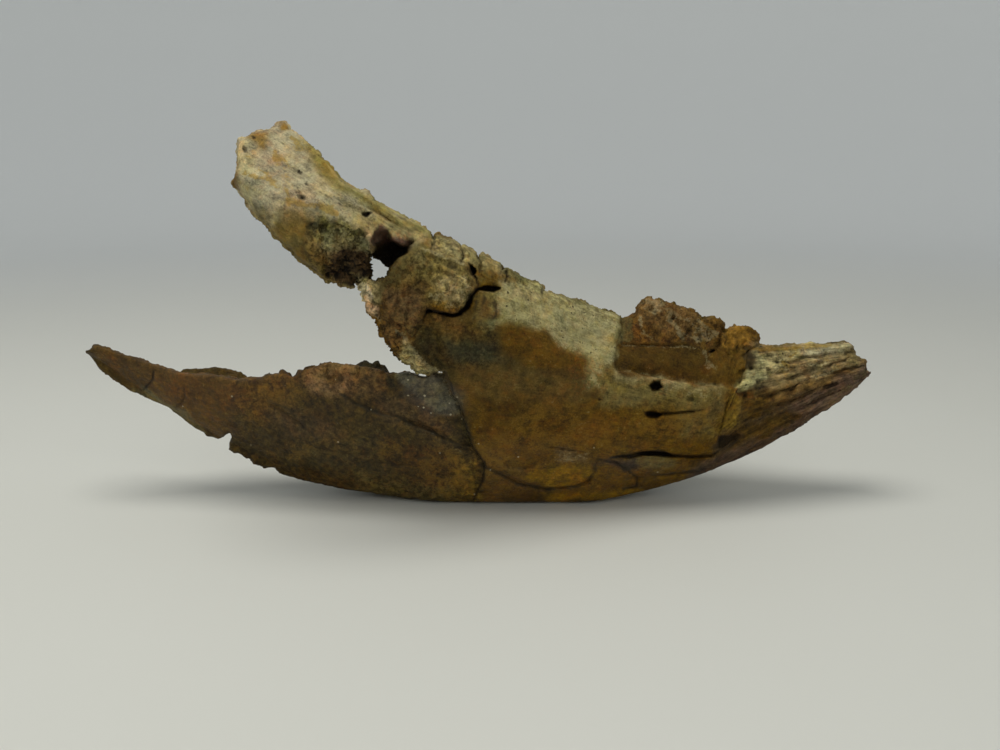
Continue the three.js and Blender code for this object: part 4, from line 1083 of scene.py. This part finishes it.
# Masks along lines: strength, width, line
LINES = {
    "ochre": [
        (1, 1.6, [(-116.5, 166.5), (-111.5, 164), (-107, 163.5), (-101.5, 160)]),
        (0.9, 1.2, [(-110, 169), (-106.5, 166.5), (-102.5, 162)]),
        (0.9, 1.2, [(-101, 177), (-102, 172.5), (-97, 173), (-95, 170)]),
        (1, 2, [(-96, 152), (-90, 151), (-81, 149.5), (-72, 146.5)]),
        (0.9, 1.4, [(-93.5, 184), (-90, 181.5), (-86.5, 177)]),
        (0.8, 1.4, [(-77, 170.5), (-74.5, 166.5)]),
        (0.8, 1.4, [(-96.5, 158), (-94, 153)]),
        (1, 1.4, [(155, 70.5), (158.5, 68.5)]),
        (1, 1, [(159, 73.5), (162, 75)]),
        (0.8, 1.5, [(136, 77), (159, 78), (179.5, 80)]),
        (0.8, 1.2, [(132, 46.5), (137, 49.5), (145, 51.5)]),
    ],
    "stain_and_shade": [
        (0.9, 1.8, [(7, 103), (7.5, 93.5)]),
        (1, 1.3, [(-117, 178.5), (-116.5, 177)]),
        (1, 1.2, [(-112.5, 184), (-111.5, 183)]),
        (1, 1.3, [(-90, 167.5), (-89, 166.5)]),
        (1, 1.8, [(-90, 154.5), (-88, 154)]),
        (0.7, 1, [(-87, 161), (-86, 160.5)]),
        (0.6, 0.8, [(-80, 153), (-78, 152)]),
        (0.6, 0.6, [(-71.5, 149.5), (-68.5, 147.5)]),
        # Painted shadow beneath the cap's upper edge
        (0.6, 2.2, [(-15, 120), (-12, 118.5)]),
        (0.6, 1, [(-108.5, 178.5), (-107, 176)]),
        (1, 1.2, [(-58.5, 146.5), (-57, 145.5), (-55, 147)]),
        (0.35, 0.8, [(-65, 155), (-54, 151), (-47.5, 142.5)]),
        (0.35, 0.8, [(-46, 149), (-38, 144), (-28, 137.5)]),
        (0.35, 0.7, [(-52, 153), (-42, 146), (-34, 140.5)]),
        (0.3, 0.8, [(-74.5, 165), (-67, 158)]),
        (0.6, 1, [(-84.5, 143), (-75.5, 141.5)]),
        (0.6, 1, [(112.5, 89.5), (112.5, 81)]),
        (0.7, 1.2, [(70.5, 87.5), (72.5, 79.5)]),
        (0.7, 1, [(-2, 103), (-3.5, 93.5)]),
        (0.6, 1.2, [(2, 107), (1, 96.5)]),
        # Dark lines along the belly's lobes and folds, partly painted shade in their grooves
        (0.65, 1.6, [(-0.5, 16), (10, 10.5), (20.5, 5), (33.5, 2.5), (49.5, 3.5), (56, 6.5), (59.5, 10.5),
         (60.5, 17)]),
        (0.3, 1.4, [(10, 19.5), (20.5, 14), (33.5, 15)]),
        (0.65, 1.5, [(60.5, 18.5), (71, 17), (77.5, 13), (82, 8.5), (81.5, 4), (74.5, 2.5)]),
        (0.6, 1.2, [(89, 10.5), (102.5, 11), (114.5, 13)]),
        (0.3, 1.2, [(33.5, 25.5), (42.5, 24.5), (55, 22)]),
        (0.7, 1.4, [(68, 19.5), (73.5, 20.5), (78, 20.5)]),
        (0.6, 1.2, [(93.5, 29), (104, 31.5)]),
        (0.5, 1, [(-110.5, 50.5), (-99, 45.5), (-86, 38)]),
        (0.7, 1.3, [(-73, 54), (-62, 47.5), (-50.5, 42.5), (-43.5, 42), (-38, 38.5), (-25.5, 33),
         (-12.5, 27.5), (-5.5, 26)]),
        (0.6, 1, [(-40.5, 19), (-26.5, 19)]),
        (0.5, 1, [(-100, 25), (-88.5, 24), (-84.5, 20.5)]),
    ],
    "cream_and_highlight": [
        # Painted highlight along the cap's upper edge
        (1, 1, [(-26.5, 128), (-17.5, 124.5), (-8, 121.5)]),
        (0.5, 0.8, [(72.5, 79), (92, 79), (113.5, 78)]),
        (0.9, 1.3, [(115, 76.5), (117, 71.5), (120.5, 67.5)]),
        (1, 1.2, [(85.5, 101.5), (92.5, 100), (100, 95.5)]),
        (0.8, 1.2, [(81.5, 94.5), (83.5, 86.5), (88, 83)]),
        (1, 1.4, [(96, 93.5), (100, 89.5), (104.5, 82)]),
        (1, 1.4, [(111, 92.5), (115.5, 88.5), (120.5, 85.5)]),
        (1, 1.2, [(107.5, 84.5), (112.5, 82), (117.5, 83)]),
        (0.6, 0.9, [(104, 86.5), (109.5, 83)]),
        (0.6, 1.2, [(83.5, 98.5), (89.5, 96.5), (93.5, 98.5)]),
        (0.6, 1.2, [(99, 94.5), (107, 92.5)]),
        (0.7, 1, [(151.5, 65.5), (164.5, 68.5), (180, 70.5)]),
        (0.6, 1, [(165, 61), (180, 65.5), (193.5, 70.5)]),
        (0.6, 1, [(-15.5, 103), (-8.5, 101)]),
        (1, 1.2, [(-62.5, 111.5), (-60, 108), (-56.5, 102.5)]),
        (0.9, 0.8, [(-57, 101), (-54.5, 97), (-51.5, 92.5)]),
        (1, 1.5, [(-36, 77), (-30, 70.5), (-23, 66.5)]),
        (0.8, 1.2, [(-43, 87.5), (-35, 78), (-29, 69.5)]),
        (0.6, 0.8, [(-13.5, 50.5), (-10, 44), (-5.5, 31.5)]),
        # Painted highlight along the cap's upper edge
        (0.6, 0.8, [(-30, 129), (-24.5, 126.5), (-18, 124), (-10.5, 121.5)]),
        (0.6, 0.9, [(-13, 25), (-10, 23)]),
        (0.7, 0.9, [(115, 70.5), (117.5, 67.5)]),
        (0.4, 0.8, [(-1, 106.5), (4, 107), (10, 107)]),
    ],
}

# ---------------------------------------------------------------------------------------------
# Building the bone's mesh


def sample(values, u, v):
    """A grid map's values at points (u, v)."""
    column = np.clip((u - U[0]) / CELL, 0, len(U) - 1.001)
    row = np.clip((v - V[0]) / CELL, 0, len(V) - 1.001)
    i, k = column.astype(int), row.astype(int)
    s, t = column - i, row - k
    low = values[i, k] * (1 - s) + values[i + 1, k] * s
    high = values[i, k + 1] * (1 - s) + values[i + 1, k + 1] * s
    return low * (1 - t) + high * t


PLATE_REACH = 1.5  # how far past its outline a plate still counts, mm


def envelope(side):
    """Outer and inner half widths of a side's plates together, over the grid."""
    outer = np.full(UU.shape, -HUGE)
    inner = np.full(UU.shape, HUGE)
    for edge, plate_outer, plate_inner, _ in PLATES[side]:
        outer = np.where(edge < PLATE_REACH, np.maximum(outer, plate_outer), outer)
        inner = np.where(edge < PLATE_REACH, np.minimum(inner, plate_inner), inner)
    _, plate_outer, plate_inner, _ = PLATES[side][0]
    empty = outer == -HUGE
    return np.where(empty, plate_outer, outer), np.where(empty, plate_inner, inner)


ENVELOPES = {side: envelope(side) for side in PLATES}


def inside_amount(points, u, v, softness):
    """1 inside an outline and 0 outside it, softened across its edge."""
    return smooth(signed_distance(np.array(points, float), u, v), softness, -softness)


def strongest(areas, u, v, least=0.0, scale=1.0):
    """The strongest of some areas at each point, and no less than the least."""
    amount = np.full(u.shape, least)
    for strength, softness, outline in areas:
        inside = inside_amount(outline, u, v, softness)
        amount = np.maximum(amount, strength * inside * scale)
    return amount


def line_amount(points, u, v, width):
    """1 on a line and 0 away from it."""
    distance, _ = distance_along(np.array(points, float), u, v)
    return smooth(distance, width * 1.1, width * 0.3)


def blend(base, colour, amount):
    return base + (np.asarray(colour) - base) * amount[:, None]


PROCESS_START, TAIL_START = -13, -112  # where the beak gives way to the process and its tail, x
BELOW_ALL = -9  # lower than the whole bone, mm


class Place:
    """Where points lie on the bone: side-view place, depth under the skin, kind of surface."""

    def __init__(self, points):
        x, y, z = points.T
        out = np.abs(y)
        self.u, self.v = side_view(x, z, out)
        self.near = y < 0
        levels = [
            np.where(self.near, *(sample(ENVELOPES[side][n], self.u, self.v) for side in PLATES))
            for n in (0, 1)
        ]
        depth = levels[0] - out
        self.inner = smooth(out - levels[1], 2.2, 0.8) * smooth(depth, 2, 4)
        process = np.where(x > TAIL_START, process_keel(x) + 5, BELOW_ALL)
        keel = np.where(x > PROCESS_START, keel_height(x) + 2, process)
        self.broken = smooth(depth, 1.4, 3.2) * (1 - self.inner) * smooth(z - keel, 0, 3)
        self.points = points


DARK_LUMPS = [(-76, 66), (-50, 66), (-46, 46), (-74, 50)]  # of the far process, (u, v)
TIP_START = 123  # where the tip's ridges begin, u
TIP_END = (241, 83.5)  # where the tip's ridges would meet, (u, v)
TIP_SPAN = 75.0
LEAST_ROUGH, FAR_ROUGH = 0.16, 0.6  # the smoothest skin, mm, and how rough the far side is
LEAST_STREAKED = 0.12


def on_wing(u, v):
    return smooth(0.3 * v - u, 50, 75)


def flow(u, v):
    """Distances along and across the bone's fibres, mm."""
    main = v + 0.12 * u
    rim = 0.92 * (v + 0.42 * u) + 9
    wing = 0.84 * v + 0.545 * u + 34
    tail = 0.93 * v + 0.3 * u + 20
    tip = TIP_SPAN * np.arctan2(v - TIP_END[1], TIP_END[0] - u) + 70
    across = main
    for other, amount in (
        (rim, smooth(v + 0.42 * u, 88, 108)),
        (wing, on_wing(u, v)),
        (tail, smooth(-u, 100, 140) * smooth(v, 100, 85)),
        (tip, smooth(u, 112, 134)),
    ):
        across = across + (other - across) * amount
    reach = np.hypot(u - TIP_END[0], v - TIP_END[1])
    fan = TIP_START + TIP_SPAN * np.log((TIP_END[0] - TIP_START) / reach)
    return np.where(u > TIP_START, fan, u * 1.05), across


def roughness(place):
    """The height of the lumps on the outer skin, mm."""
    return strongest(ROUGH, place.u, place.v, LEAST_ROUGH, np.where(place.near, 1, FAR_ROUGH))


def streakiness(place):
    return strongest(STREAKED, place.u, place.v, LEAST_STREAKED)


def relief(place):
    """How far the surface stands out: coarse on broken bone, fine on the outer skin, mm."""
    coords = place.points.T
    lumps = layered(coords, 3.4, 3, 101, 0.65)
    spongy = -np.abs(layered(coords, 2.4, 3, 107, 0.6)) + 0.3
    inside = layered(coords, 6, 4, 113)
    skin = layered(coords, 2.8, 3, 127, 0.7)
    broad = layered(coords, 9, 2, 149)
    along, across = flow(place.u, place.v)
    ridges = layered((along / 7, across, place.points[:, 1] * 0.3), 2.1, 3, 167, 0.6)
    rough = roughness(place)
    tip = smooth(place.u, 122, 132)
    outer = rough * (1.3 * skin + 0.8 * broad) + tip * 0.8 * ridges
    outer += 0.3 * ridges * streakiness(place)
    height = place.broken * (0.9 * lumps + 0.9 * spongy) * (1 + rough)
    height += place.inner * 0.8 * inside + (1 - place.broken) * (1 - place.inner) * outer
    return height * smooth(place.points[:, 2], 0.2, 2.5)


points, faces = surface_net(bone_field())
points = to_bone(points)
mesh = build_mesh("beak_bone", points, faces)
normals = read_vectors(mesh, mesh.vertex_normals, "vector")
points = points + normals * relief(Place(points))[:, None]
points[:, 2] = np.maximum(points[:, 2], 0)
mesh.vertices.foreach_set("co", (points * MM).astype(np.float32).ravel())
bone = bpy.data.objects.new("weathered_beak", mesh)
bpy.context.scene.collection.objects.link(bone)
thin = bone.modifiers.new("thin", "DECIMATE")
thin.ratio = TRIANGLES / (2 * len(faces))
depsgraph = bpy.context.evaluated_depsgraph_get()
mesh = bpy.data.meshes.new_from_object(bone.evaluated_get(depsgraph))
bone.modifiers.clear()
bone.data = mesh
mesh.shade_smooth()

# ---------------------------------------------------------------------------------------------
# Painting: a base colour, eleven masks and the fibres' directions for each vertex

place = Place(read_vectors(mesh, mesh.vertices, "co") / MM)
coords = place.points.T
drift = [layered(coords, 9, 3, seed) for seed in (131, 137)]
u, v = place.u + 2.6 * drift[0], place.v + 2.6 * drift[1]

near_tone = np.tile(OCHRE, (len(u), 1))
for tone, softness, outline in TONES:
    near_tone = blend(near_tone, tone, inside_amount(outline, u, v, softness))

patches = [layered(coords, size, 4, seed) for size, seed in ((34, 151), (26, 157), (19, 163))]
wavering_u = place.u + 8 * drift[0]
far_tone = np.tile(UMBER, (len(u), 1))
for tone, amount in (
    (AMBER, smooth(patches[0], -0.1, 0.5)),
    (CHOCOLATE, smooth(patches[1], 0, 0.5)),
    (SANDY, smooth(patches[2], 0.15, 0.6)),
    (CHOCOLATE, smooth(wavering_u, -6, -16) * 0.9),
    (MAUVE, smooth(wavering_u, 112, 130) * 0.8),
):
    far_tone = blend(far_tone, tone, amount)
hollow_tone = np.tile(MOSS, (len(u), 1))
for tone, amount in (
    (SANDY, smooth(patches[2], -0.1, 0.6)),
    (SOOT, smooth(patches[1], 0.1, 0.6)),
    (CHOCOLATE, 0.85 * smooth(place.u, -10, -40)),
):
    hollow_tone = blend(hollow_tone, tone, amount)
tone = np.where(place.near[:, None], near_tone, far_tone)
tone = blend(tone, hollow_tone, place.inner * np.where(place.near, 0.85, 0.9))
tone = blend(tone, SANDY, place.broken * 0.35 * smooth(place.u, -30, 0))
lumps = inside_amount(DARK_LUMPS, place.u, place.v, 2)
tone = blend(tone, np.multiply(SOOT, 0.4), np.where(place.near, 0, lumps))
height = relief(place)
lumpy = smooth(roughness(place), 0.95, 1.8)
# Painted light and shade: the tone is lightened where the relief stands out and darkened where it sinks,
# most on lumpy broken bone
tone *= np.clip(1 + (0.3 + 0.3 * lumpy) * height, 0.4, 1.7)[:, None]

shown = np.where(place.near, 1, 0) * (1 - place.inner)
masks = {name: strongest(areas, u, v, scale=shown) for name, areas in AREAS.items()}


def mark(name, amount):
    masks[name] = np.maximum(masks[name], amount)


fine_u, fine_v = place.u + 0.6 * drift[0], place.v + 0.6 * drift[1]
for name, rows in LINES.items():
    for strength, width, line in rows:
        mark(name, strength * line_amount(line, fine_u, fine_v, width) * shown)
hidden = (1 - shown) * smooth(place.u, -40, 10)
for name, patch, low, high, strength in (
    ("cream_and_highlight", patches[2], 0.25, 0.7, 0.8),
    ("ochre", patches[0], 0.2, 0.7, 0.8),
    ("stain_and_shade", patches[1], 0.3, 0.8, 0.7),
    ("green", -patches[2], 0.3, 0.8, 0.6),
    ("mottle", patches[0], -0.6, 0.6, 0.7),
    ("rust", -patches[1], -0.1, 0.6, 0.6),
):
    mark(name, hidden * smooth(patch, low, high) * strength)
open_bone = 0.75 * masks["cream_and_highlight"] + 0.6 * place.broken
masks["pores"] = np.clip(0.25 + open_bone - 0.5 * on_wing(place.u, place.v), 0, 1)
# Painted shade: the near side's shaded cracks, pits and hollows, then the low places of the relief, darker
# on lumpy broken bone
masks["painted_shade"] = np.where(place.near, sample(painted_shade, place.u, place.v), 0) * (1 - place.inner)
mark("painted_shade", smooth(-height, 0.35, 1.8) * np.where(place.u > TIP_START - 1, 0.3, 0.75))
mark("painted_shade", smooth(-height, 0, 1.5) * lumpy)
masks["broken"] = place.broken
masks["streaks"] = streakiness(place)


MASK_LAYERS = {
    # The cream mask also holds painted highlights, and the stain mask painted shadow and shade
    "masks_a": ("cream_and_highlight", "ochre", "stain_and_shade"),
    "masks_b": ("green", "gloss", "pores"),
    # The first of these is painted shade in cracks, pits, hollows and low places
    "masks_c": ("painted_shade", "broken", "streaks"),
    "masks_d": ("mottle", "rust"),
}


def store(name, *channels):
    """Keeps up to three values for each vertex, for the material."""
    layer = mesh.attributes.new(name, "FLOAT_COLOR", "POINT")
    rgba = np.ones((len(mesh.vertices), 4), np.float32)
    rgba[:, : len(channels)] = np.stack(channels, axis=1)
    layer.data.foreach_set("color", rgba.ravel())


store("tone", *tone.T)
for layer, names in MASK_LAYERS.items():
    store(layer, *(masks[name] for name in names))
store("fibres", *flow(place.u, place.v), place.points[:, 1])

# ---------------------------------------------------------------------------------------------
# Materials


class Material:
    """A node material whose methods each add a node or two and give the result."""

    def __init__(self, name):
        self.material = bpy.data.materials.new(name)
        self.material.use_nodes = True
        self.tree = self.material.node_tree
        self.shader = self.tree.nodes["Principled BSDF"]

    def put(self, socket, value):
        if isinstance(value, bpy.types.NodeSocket):
            self.tree.links.new(value, socket)
        else:
            socket.default_value = value

    def outputs(self, kind, inputs, **settings):
        node = self.tree.nodes.new("ShaderNode" + kind)
        for key, value in settings.items():
            setattr(node, key, value)
        for key, value in inputs.items():
            self.put(node.inputs[key], value)
        return node.outputs

    def add(self, kind, inputs, output=0, **settings):
        return self.outputs(kind, inputs, **settings)[output]

    def attribute(self, name, output=0):
        return self.add("Attribute", {}, output, attribute_name=name)

    def channels(self, colour):
        return self.outputs("SeparateColor", {0: colour})

    def masks(self):
        """Every stored mask by its name."""
        return {
            name: channel
            for layer, names in MASK_LAYERS.items()
            for name, channel in zip(names, self.channels(self.attribute(layer)))
        }

    def math(self, operation, first, *others):
        for other in others:
            first = self.add("Math", {0: first, 1: other}, operation=operation)
        return first

    def plus(self, *values):
        return self.math("ADD", *values)

    def times(self, *values):
        return self.math("MULTIPLY", *values)

    def mix(self, factor, a, b, blend_type="MIX"):
        inputs = {"Factor": factor, 6: a, 7: b}
        return self.add("Mix", inputs, 2, data_type="RGBA", blend_type=blend_type)

    def tinted(self, base, tint):
        """A colour multiplied by a tint: red, green and blue, or a socket."""
        return self.mix(1.0, base, colour(tint) if isinstance(tint, tuple) else tint, "MULTIPLY")

    def step(self, value, low, high, to_low=0.0, to_high=1.0):
        """Runs smoothly from to_low to to_high as value goes from low to high."""
        inputs = {"Value": value, "From Min": low, "From Max": high, "To Min": to_low,
                  "To Max": to_high}
        return self.add("MapRange", inputs, interpolation_type="SMOOTHSTEP")

    def swing(self, noise, reach, about=0.0):
        """A noise's usual range spread over a value, by some reach to each side."""
        return self.step(noise, 0.3, 0.7, about - reach, about + reach)

    def noise(self, vector, size, detail=3.0, roughness=0.55, distortion=0.0, output=0):
        inputs = {"Vector": vector, "Scale": 1 / size, "Detail": detail, "Roughness": roughness,
                  "Distortion": distortion}
        return self.add("TexNoise", inputs, output)

    def cells(self, vector, size, output):
        return self.add("TexVoronoi", {"Vector": vector, "Scale": 1 / size}, output)

    def scaled(self, vector, scale):
        return self.add("VectorMath", {0: vector, 1: scale}, operation="MULTIPLY")


def colour(rgb):
    return (*rgb, 1.0)


def seen(red, green, blue):
    """A colour as seen, for a socket."""
    return colour(shade(red, green, blue))


# Tints where a noise's channel runs from one value to another: channel, from, to, tint
TINTS = (
    (0, 0.5, 0.64, (1.2, 0.97, 0.86)),
    (1, 0.5, 0.66, (1.16, 1.11, 0.78)),
    (2, 0.5, 0.66, (0.7, 0.77, 0.74)),
    (0, 0.44, 0.32, (0.72, 0.74, 0.7)),
)
CLOUDS = (
    (0, 0.46, 0.66, (1.13, 0.96, 0.88)),
    (1, 0.46, 0.66, (1.07, 1.07, 0.86)),
    (2, 0.46, 0.66, (0.86, 0.93, 1.02)),
)


class BoneMaterial(Material):
    """The weathered bone: a painted base colour, broken up and marked by noises and masks."""

    def __init__(self):
        super().__init__("weathered_bone")
        self.mask = self.masks()
        to_mm = {0: self.add("TexCoord", {}, "Object"), "Scale": 1 / MM}
        self.place = self.add("VectorMath", to_mm, operation="SCALE")
        fibres = self.attribute("fibres", "Vector")
        self.broad = self.noise(self.place, 15, 3)
        self.middle = self.noise(self.place, 3.6, 4, 0.62)
        self.other = self.noise(self.place, 6, 3, 0.6, 0.5)
        self.small = self.noise(self.place, 1.0, 4, 0.72)
        self.finest = self.noise(self.place, 0.55, 2, 0.7)
        self.grain = self.noise(self.scaled(fibres, (0.14, 1, 0.4)), 1.5, 4, 0.65)
        self.fleck = self.noise(self.scaled(fibres, (0.45, 1, 0.7)), 1.7, 3, 0.6)
        swing = self.plus(self.times(self.mask["streaks"], 0.38), 0.06)
        self.streak = self.times(self.step(self.grain, 0.32, 0.68, -1, 1), swing)
        self.paint()
        self.shine_and_relief()

    def tint(self, base, noise, tints, most):
        channels = self.channels(noise)
        for channel, low, high, tint in tints:
            amount = self.step(channels[channel], low, high, 0, most)
            base = self.mix(amount, base, self.tinted(base, tint))
        return base

    def mottled(self, base):
        """The base colour varied in hue and in brightness."""
        base = self.tint(base, self.noise(self.place, 5.2, 4, 0.65, output=1), TINTS, 0.62)
        base = self.tint(base, self.noise(self.place, 17, 3, 0.6, output=1), CLOUDS, 0.75)
        blotch = self.noise(self.place, 2.7, 5, 0.72, 0.3)
        spots = self.noise(self.place, 1.9, 4, 0.7, 0.2)
        for noise, low, high, mask, tint in (
            (blotch, 0.49, 0.57, "mottle", (0.4, 0.38, 0.32)),
            (blotch, 0.46, 0.38, "mottle", (1.5, 1.46, 1.32)),
            (spots, 0.48, 0.58, "rust", (1.34, 0.94, 0.84)),
        ):
            amount = self.times(self.step(noise, low, high), self.mask[mask])
            base = self.mix(amount, base, self.tinted(base, tint))
        swings = ((self.middle, 0.27), (self.other, 0.14), (self.small, 0.22), (self.finest, 0.14))
        brightness = self.plus(
            self.swing(self.broad, 0.16, about=1),
            *(self.swing(noise, reach) for noise, reach in swings),
            self.streak,
        )
        return self.tinted(base, brightness)

    def crisp(self, mask, noise, sharp=0.3):
        """A mask whose edges break up with the noise."""
        value = self.plus(self.mask[mask], self.swing(noise, 0.3), self.swing(self.small, 0.22))
        return self.step(value, 0.55 - sharp, 0.55 + sharp)

    def patched(self, base):
        """Green, cream, ochre and dark stain patches over the base colour; along the cap's upper edge the
        cream is a painted highlight and the stain beneath it painted shadow, and dark lines along the
        belly's folds are partly painted shade.
        """
        small, middle, other = self.small, self.middle, self.other
        green = self.mix(small, seen(52, 48, 26), seen(96, 92, 56))
        base = self.mix(self.times(self.crisp("green", middle), 0.5), base, green)
        cream_and_highlight = self.mix(self.step(middle, 0.3, 0.7), seen(108, 101, 68), seen(141, 134, 104))
        cream_and_highlight = self.mix(0.4, cream_and_highlight, self.tinted(base, (1.4, 1.4, 1.4)))
        cream_and_highlight = self.tinted(cream_and_highlight, self.plus(self.swing(small, 0.14, about=1), self.streak))
        base = self.mix(self.times(self.crisp("cream_and_highlight", middle), 0.7), base, cream_and_highlight)
        gold = self.mix(small, seen(86, 65, 22), seen(130, 103, 46))
        ochre = self.mix(0.45, self.tinted(base, (1.0, 0.85, 0.46)), gold)
        base = self.mix(self.times(self.crisp("ochre", other), 0.85), base, ochre)
        stain_and_shade = self.mix(small, seen(26, 24, 18), seen(52, 48, 34))
        return self.mix(self.times(self.crisp("stain_and_shade", other, 0.32), 0.75), base, stain_and_shade)

    def paint(self):
        """The base colour with its patches, brown flecks, pores, pale specks with painted glints, and
        painted shade in cracks, pits and hollows.
        """
        pores, gloss = self.mask["pores"], self.mask["gloss"]
        base = self.patched(self.mottled(self.attribute("tone")))
        flecks = self.step(self.plus(self.fleck, self.swing(self.middle, 0.05)), 0.57, 0.66)
        self.flecks = self.times(flecks, self.plus(self.times(pores, 0.25), 0.06))
        base = self.mix(self.flecks, base, self.tinted(base, (0.42, 0.34, 0.24)))
        hole_size = self.step(self.middle, 0.42, 0.75, 0.02, 0.36)
        hole = self.math("SUBTRACT", self.cells(self.place, 2.1, "Distance"), hole_size)
        self.hole = self.times(self.step(hole, 0.05, -0.08), pores)
        base = self.mix(self.times(self.hole, 0.8), base, seen(34, 26, 16))
        # Pale specks everywhere, and more and brighter ones on glossy bone as painted glints
        speck_and_glint = self.step(self.cells(self.place, 2.8, "Distance"), 0.24, 0.14)
        few = self.math("SUBTRACT", 0.97, self.times(gloss, 0.3))
        chosen = self.math("GREATER_THAN", self.cells(self.place, 2.8, "Color"), few)
        self.speck_and_glint = self.times(speck_and_glint, chosen)
        strength = self.plus(self.times(gloss, 0.55), 0.3)
        base = self.mix(self.times(self.speck_and_glint, strength), base, seen(176, 164, 134))
        # Painted shade, nearly black, in the cracks, pits, hollows and low places
        painted_shade_amount = self.times(self.step(self.mask["painted_shade"], 0.05, 1.0), 0.94)
        self.put(self.shader.inputs["Base Color"], self.mix(painted_shade_amount, base, seen(18, 13, 8)))

    def shine_and_relief(self):
        inputs, gloss, times = self.shader.inputs, self.mask["gloss"], self.times
        rough = self.plus(self.swing(self.middle, 0.1, about=0.7), times(gloss, -0.3),
                          times(self.speck_and_glint, -0.2))
        self.put(inputs["Roughness"], rough)
        self.put(inputs["Specular IOR Level"], self.plus(0.12, times(gloss, 0.4)))
        height = self.plus(
            times(self.small, 0.7),
            times(self.grain, 0.6),
            times(self.hole, -0.7),
            times(self.flecks, -0.5),
            times(self.middle, self.mask["broken"], 1.5),
        )
        bump = {"Height": height, "Strength": 0.9, "Distance": 0.8 * MM}
        self.put(inputs["Normal"], self.add("Bump", bump))


def floor_material():
    m = Material("pale_floor")
    place = m.add("TexCoord", {}, "Object")
    near = m.mix(m.noise(place, 0.5, 3), (0.64, 0.64, 0.58, 1), (0.68, 0.68, 0.63, 1))
    reach = m.add("VectorMath", {0: place}, "Value", operation="LENGTH")
    far = m.step(reach, 0.4, 1.9)
    m.put(m.shader.inputs["Base Color"], m.mix(far, near, (0.88, 0.9, 0.9, 1)))
    m.shader.inputs["Roughness"].default_value = 0.55
    return m.material


mesh.materials.clear()
mesh.materials.append(BoneMaterial().material)
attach(bone, "root")
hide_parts("beak_bone")

# ---------------------------------------------------------------------------------------------
# Floor, lights and camera, metres

FLOOR_RADIUS, SWEEP_RADIUS, WALL_HEIGHT = 1.5, 0.6, 1.6
FLOOR_RINGS, SWEEP_STEPS, TURNS = 6, 8, 64
LENS, SENSOR, TILT_DOWN = 39.6, 36, 11.7  # mm, mm and degrees


def floor():
    """A round pale floor that sweeps up into a wall."""
    profile = [(FLOOR_RADIUS * n / FLOOR_RINGS, 0.0) for n in range(1, FLOOR_RINGS + 1)]
    for n in range(1, SWEEP_STEPS + 1):
        angle = n / SWEEP_STEPS * math.pi / 2
        profile.append((FLOOR_RADIUS + SWEEP_RADIUS * math.sin(angle),
                        SWEEP_RADIUS * (1 - math.cos(angle))))
    profile.append((FLOOR_RADIUS + SWEEP_RADIUS, WALL_HEIGHT))
    points = [(0, 0, 0)]
    for radius, z in profile:
        for n in range(TURNS):
            angle = 2 * math.pi * n / TURNS
            points.append((radius * math.cos(angle), radius * math.sin(angle), z))
    faces = [(0, 1 + n, 1 + (n + 1) % TURNS) for n in range(TURNS)]
    for ring in range(len(profile) - 1):
        a, b = 1 + ring * TURNS, 1 + (ring + 1) * TURNS
        for n in range(TURNS):
            following = (n + 1) % TURNS
            faces.append((a + n, b + n, b + following, a + following))
    made = bpy.data.meshes.new("floor")
    made.from_pydata(points, [], faces)
    made.shade_smooth()
    made.materials.append(floor_material())
    placed = bpy.data.objects.new("floor", made)
    bpy.context.scene.collection.objects.link(placed)
    return placed


def area_light(name, size, power, place, aim, tint):
    lamp = bpy.data.lights.new(name, "AREA")
    lamp.shape = "DISK"
    lamp.size = size
    lamp.energy = power
    lamp.color = tint
    placed = bpy.data.objects.new(name, lamp)
    placed.location = place
    direction = Vector(aim) - Vector(place)
    placed.rotation_euler = direction.to_track_quat("-Z", "Y").to_euler()
    bpy.context.scene.collection.objects.link(placed)


floor()
area_light("above", 0.8, 8.5, (-0.25, -0.15, 1.2), (0, 0, 0.05), (1, 0.99, 0.95))
area_light("front", 1.0, 3.6, (0.3, -1.3, 0.75), (0, 0, 0.08), (1, 1, 0.98))

world = bpy.data.worlds.new("pale_room")
world.use_nodes = True
world.node_tree.nodes["Background"].inputs["Color"].default_value = (0.72, 0.74, 0.74, 1)
world.node_tree.nodes["Background"].inputs["Strength"].default_value = 0.42
scene = bpy.context.scene
scene.world = world
scene.view_settings.view_transform = "Standard"

camera = bpy.data.cameras.new("camera")
camera.lens = LENS
camera.sensor_width = SENSOR
camera.clip_start = 0.01
camera_object = bpy.data.objects.new("camera", camera)
camera_object.location = (EYE_X * MM, -EYE_OUT * MM, EYE_Z * MM)
camera_object.rotation_euler = (math.radians(90 - TILT_DOWN), 0, 0)
scene.collection.objects.link(camera_object)
scene.camera = camera_object
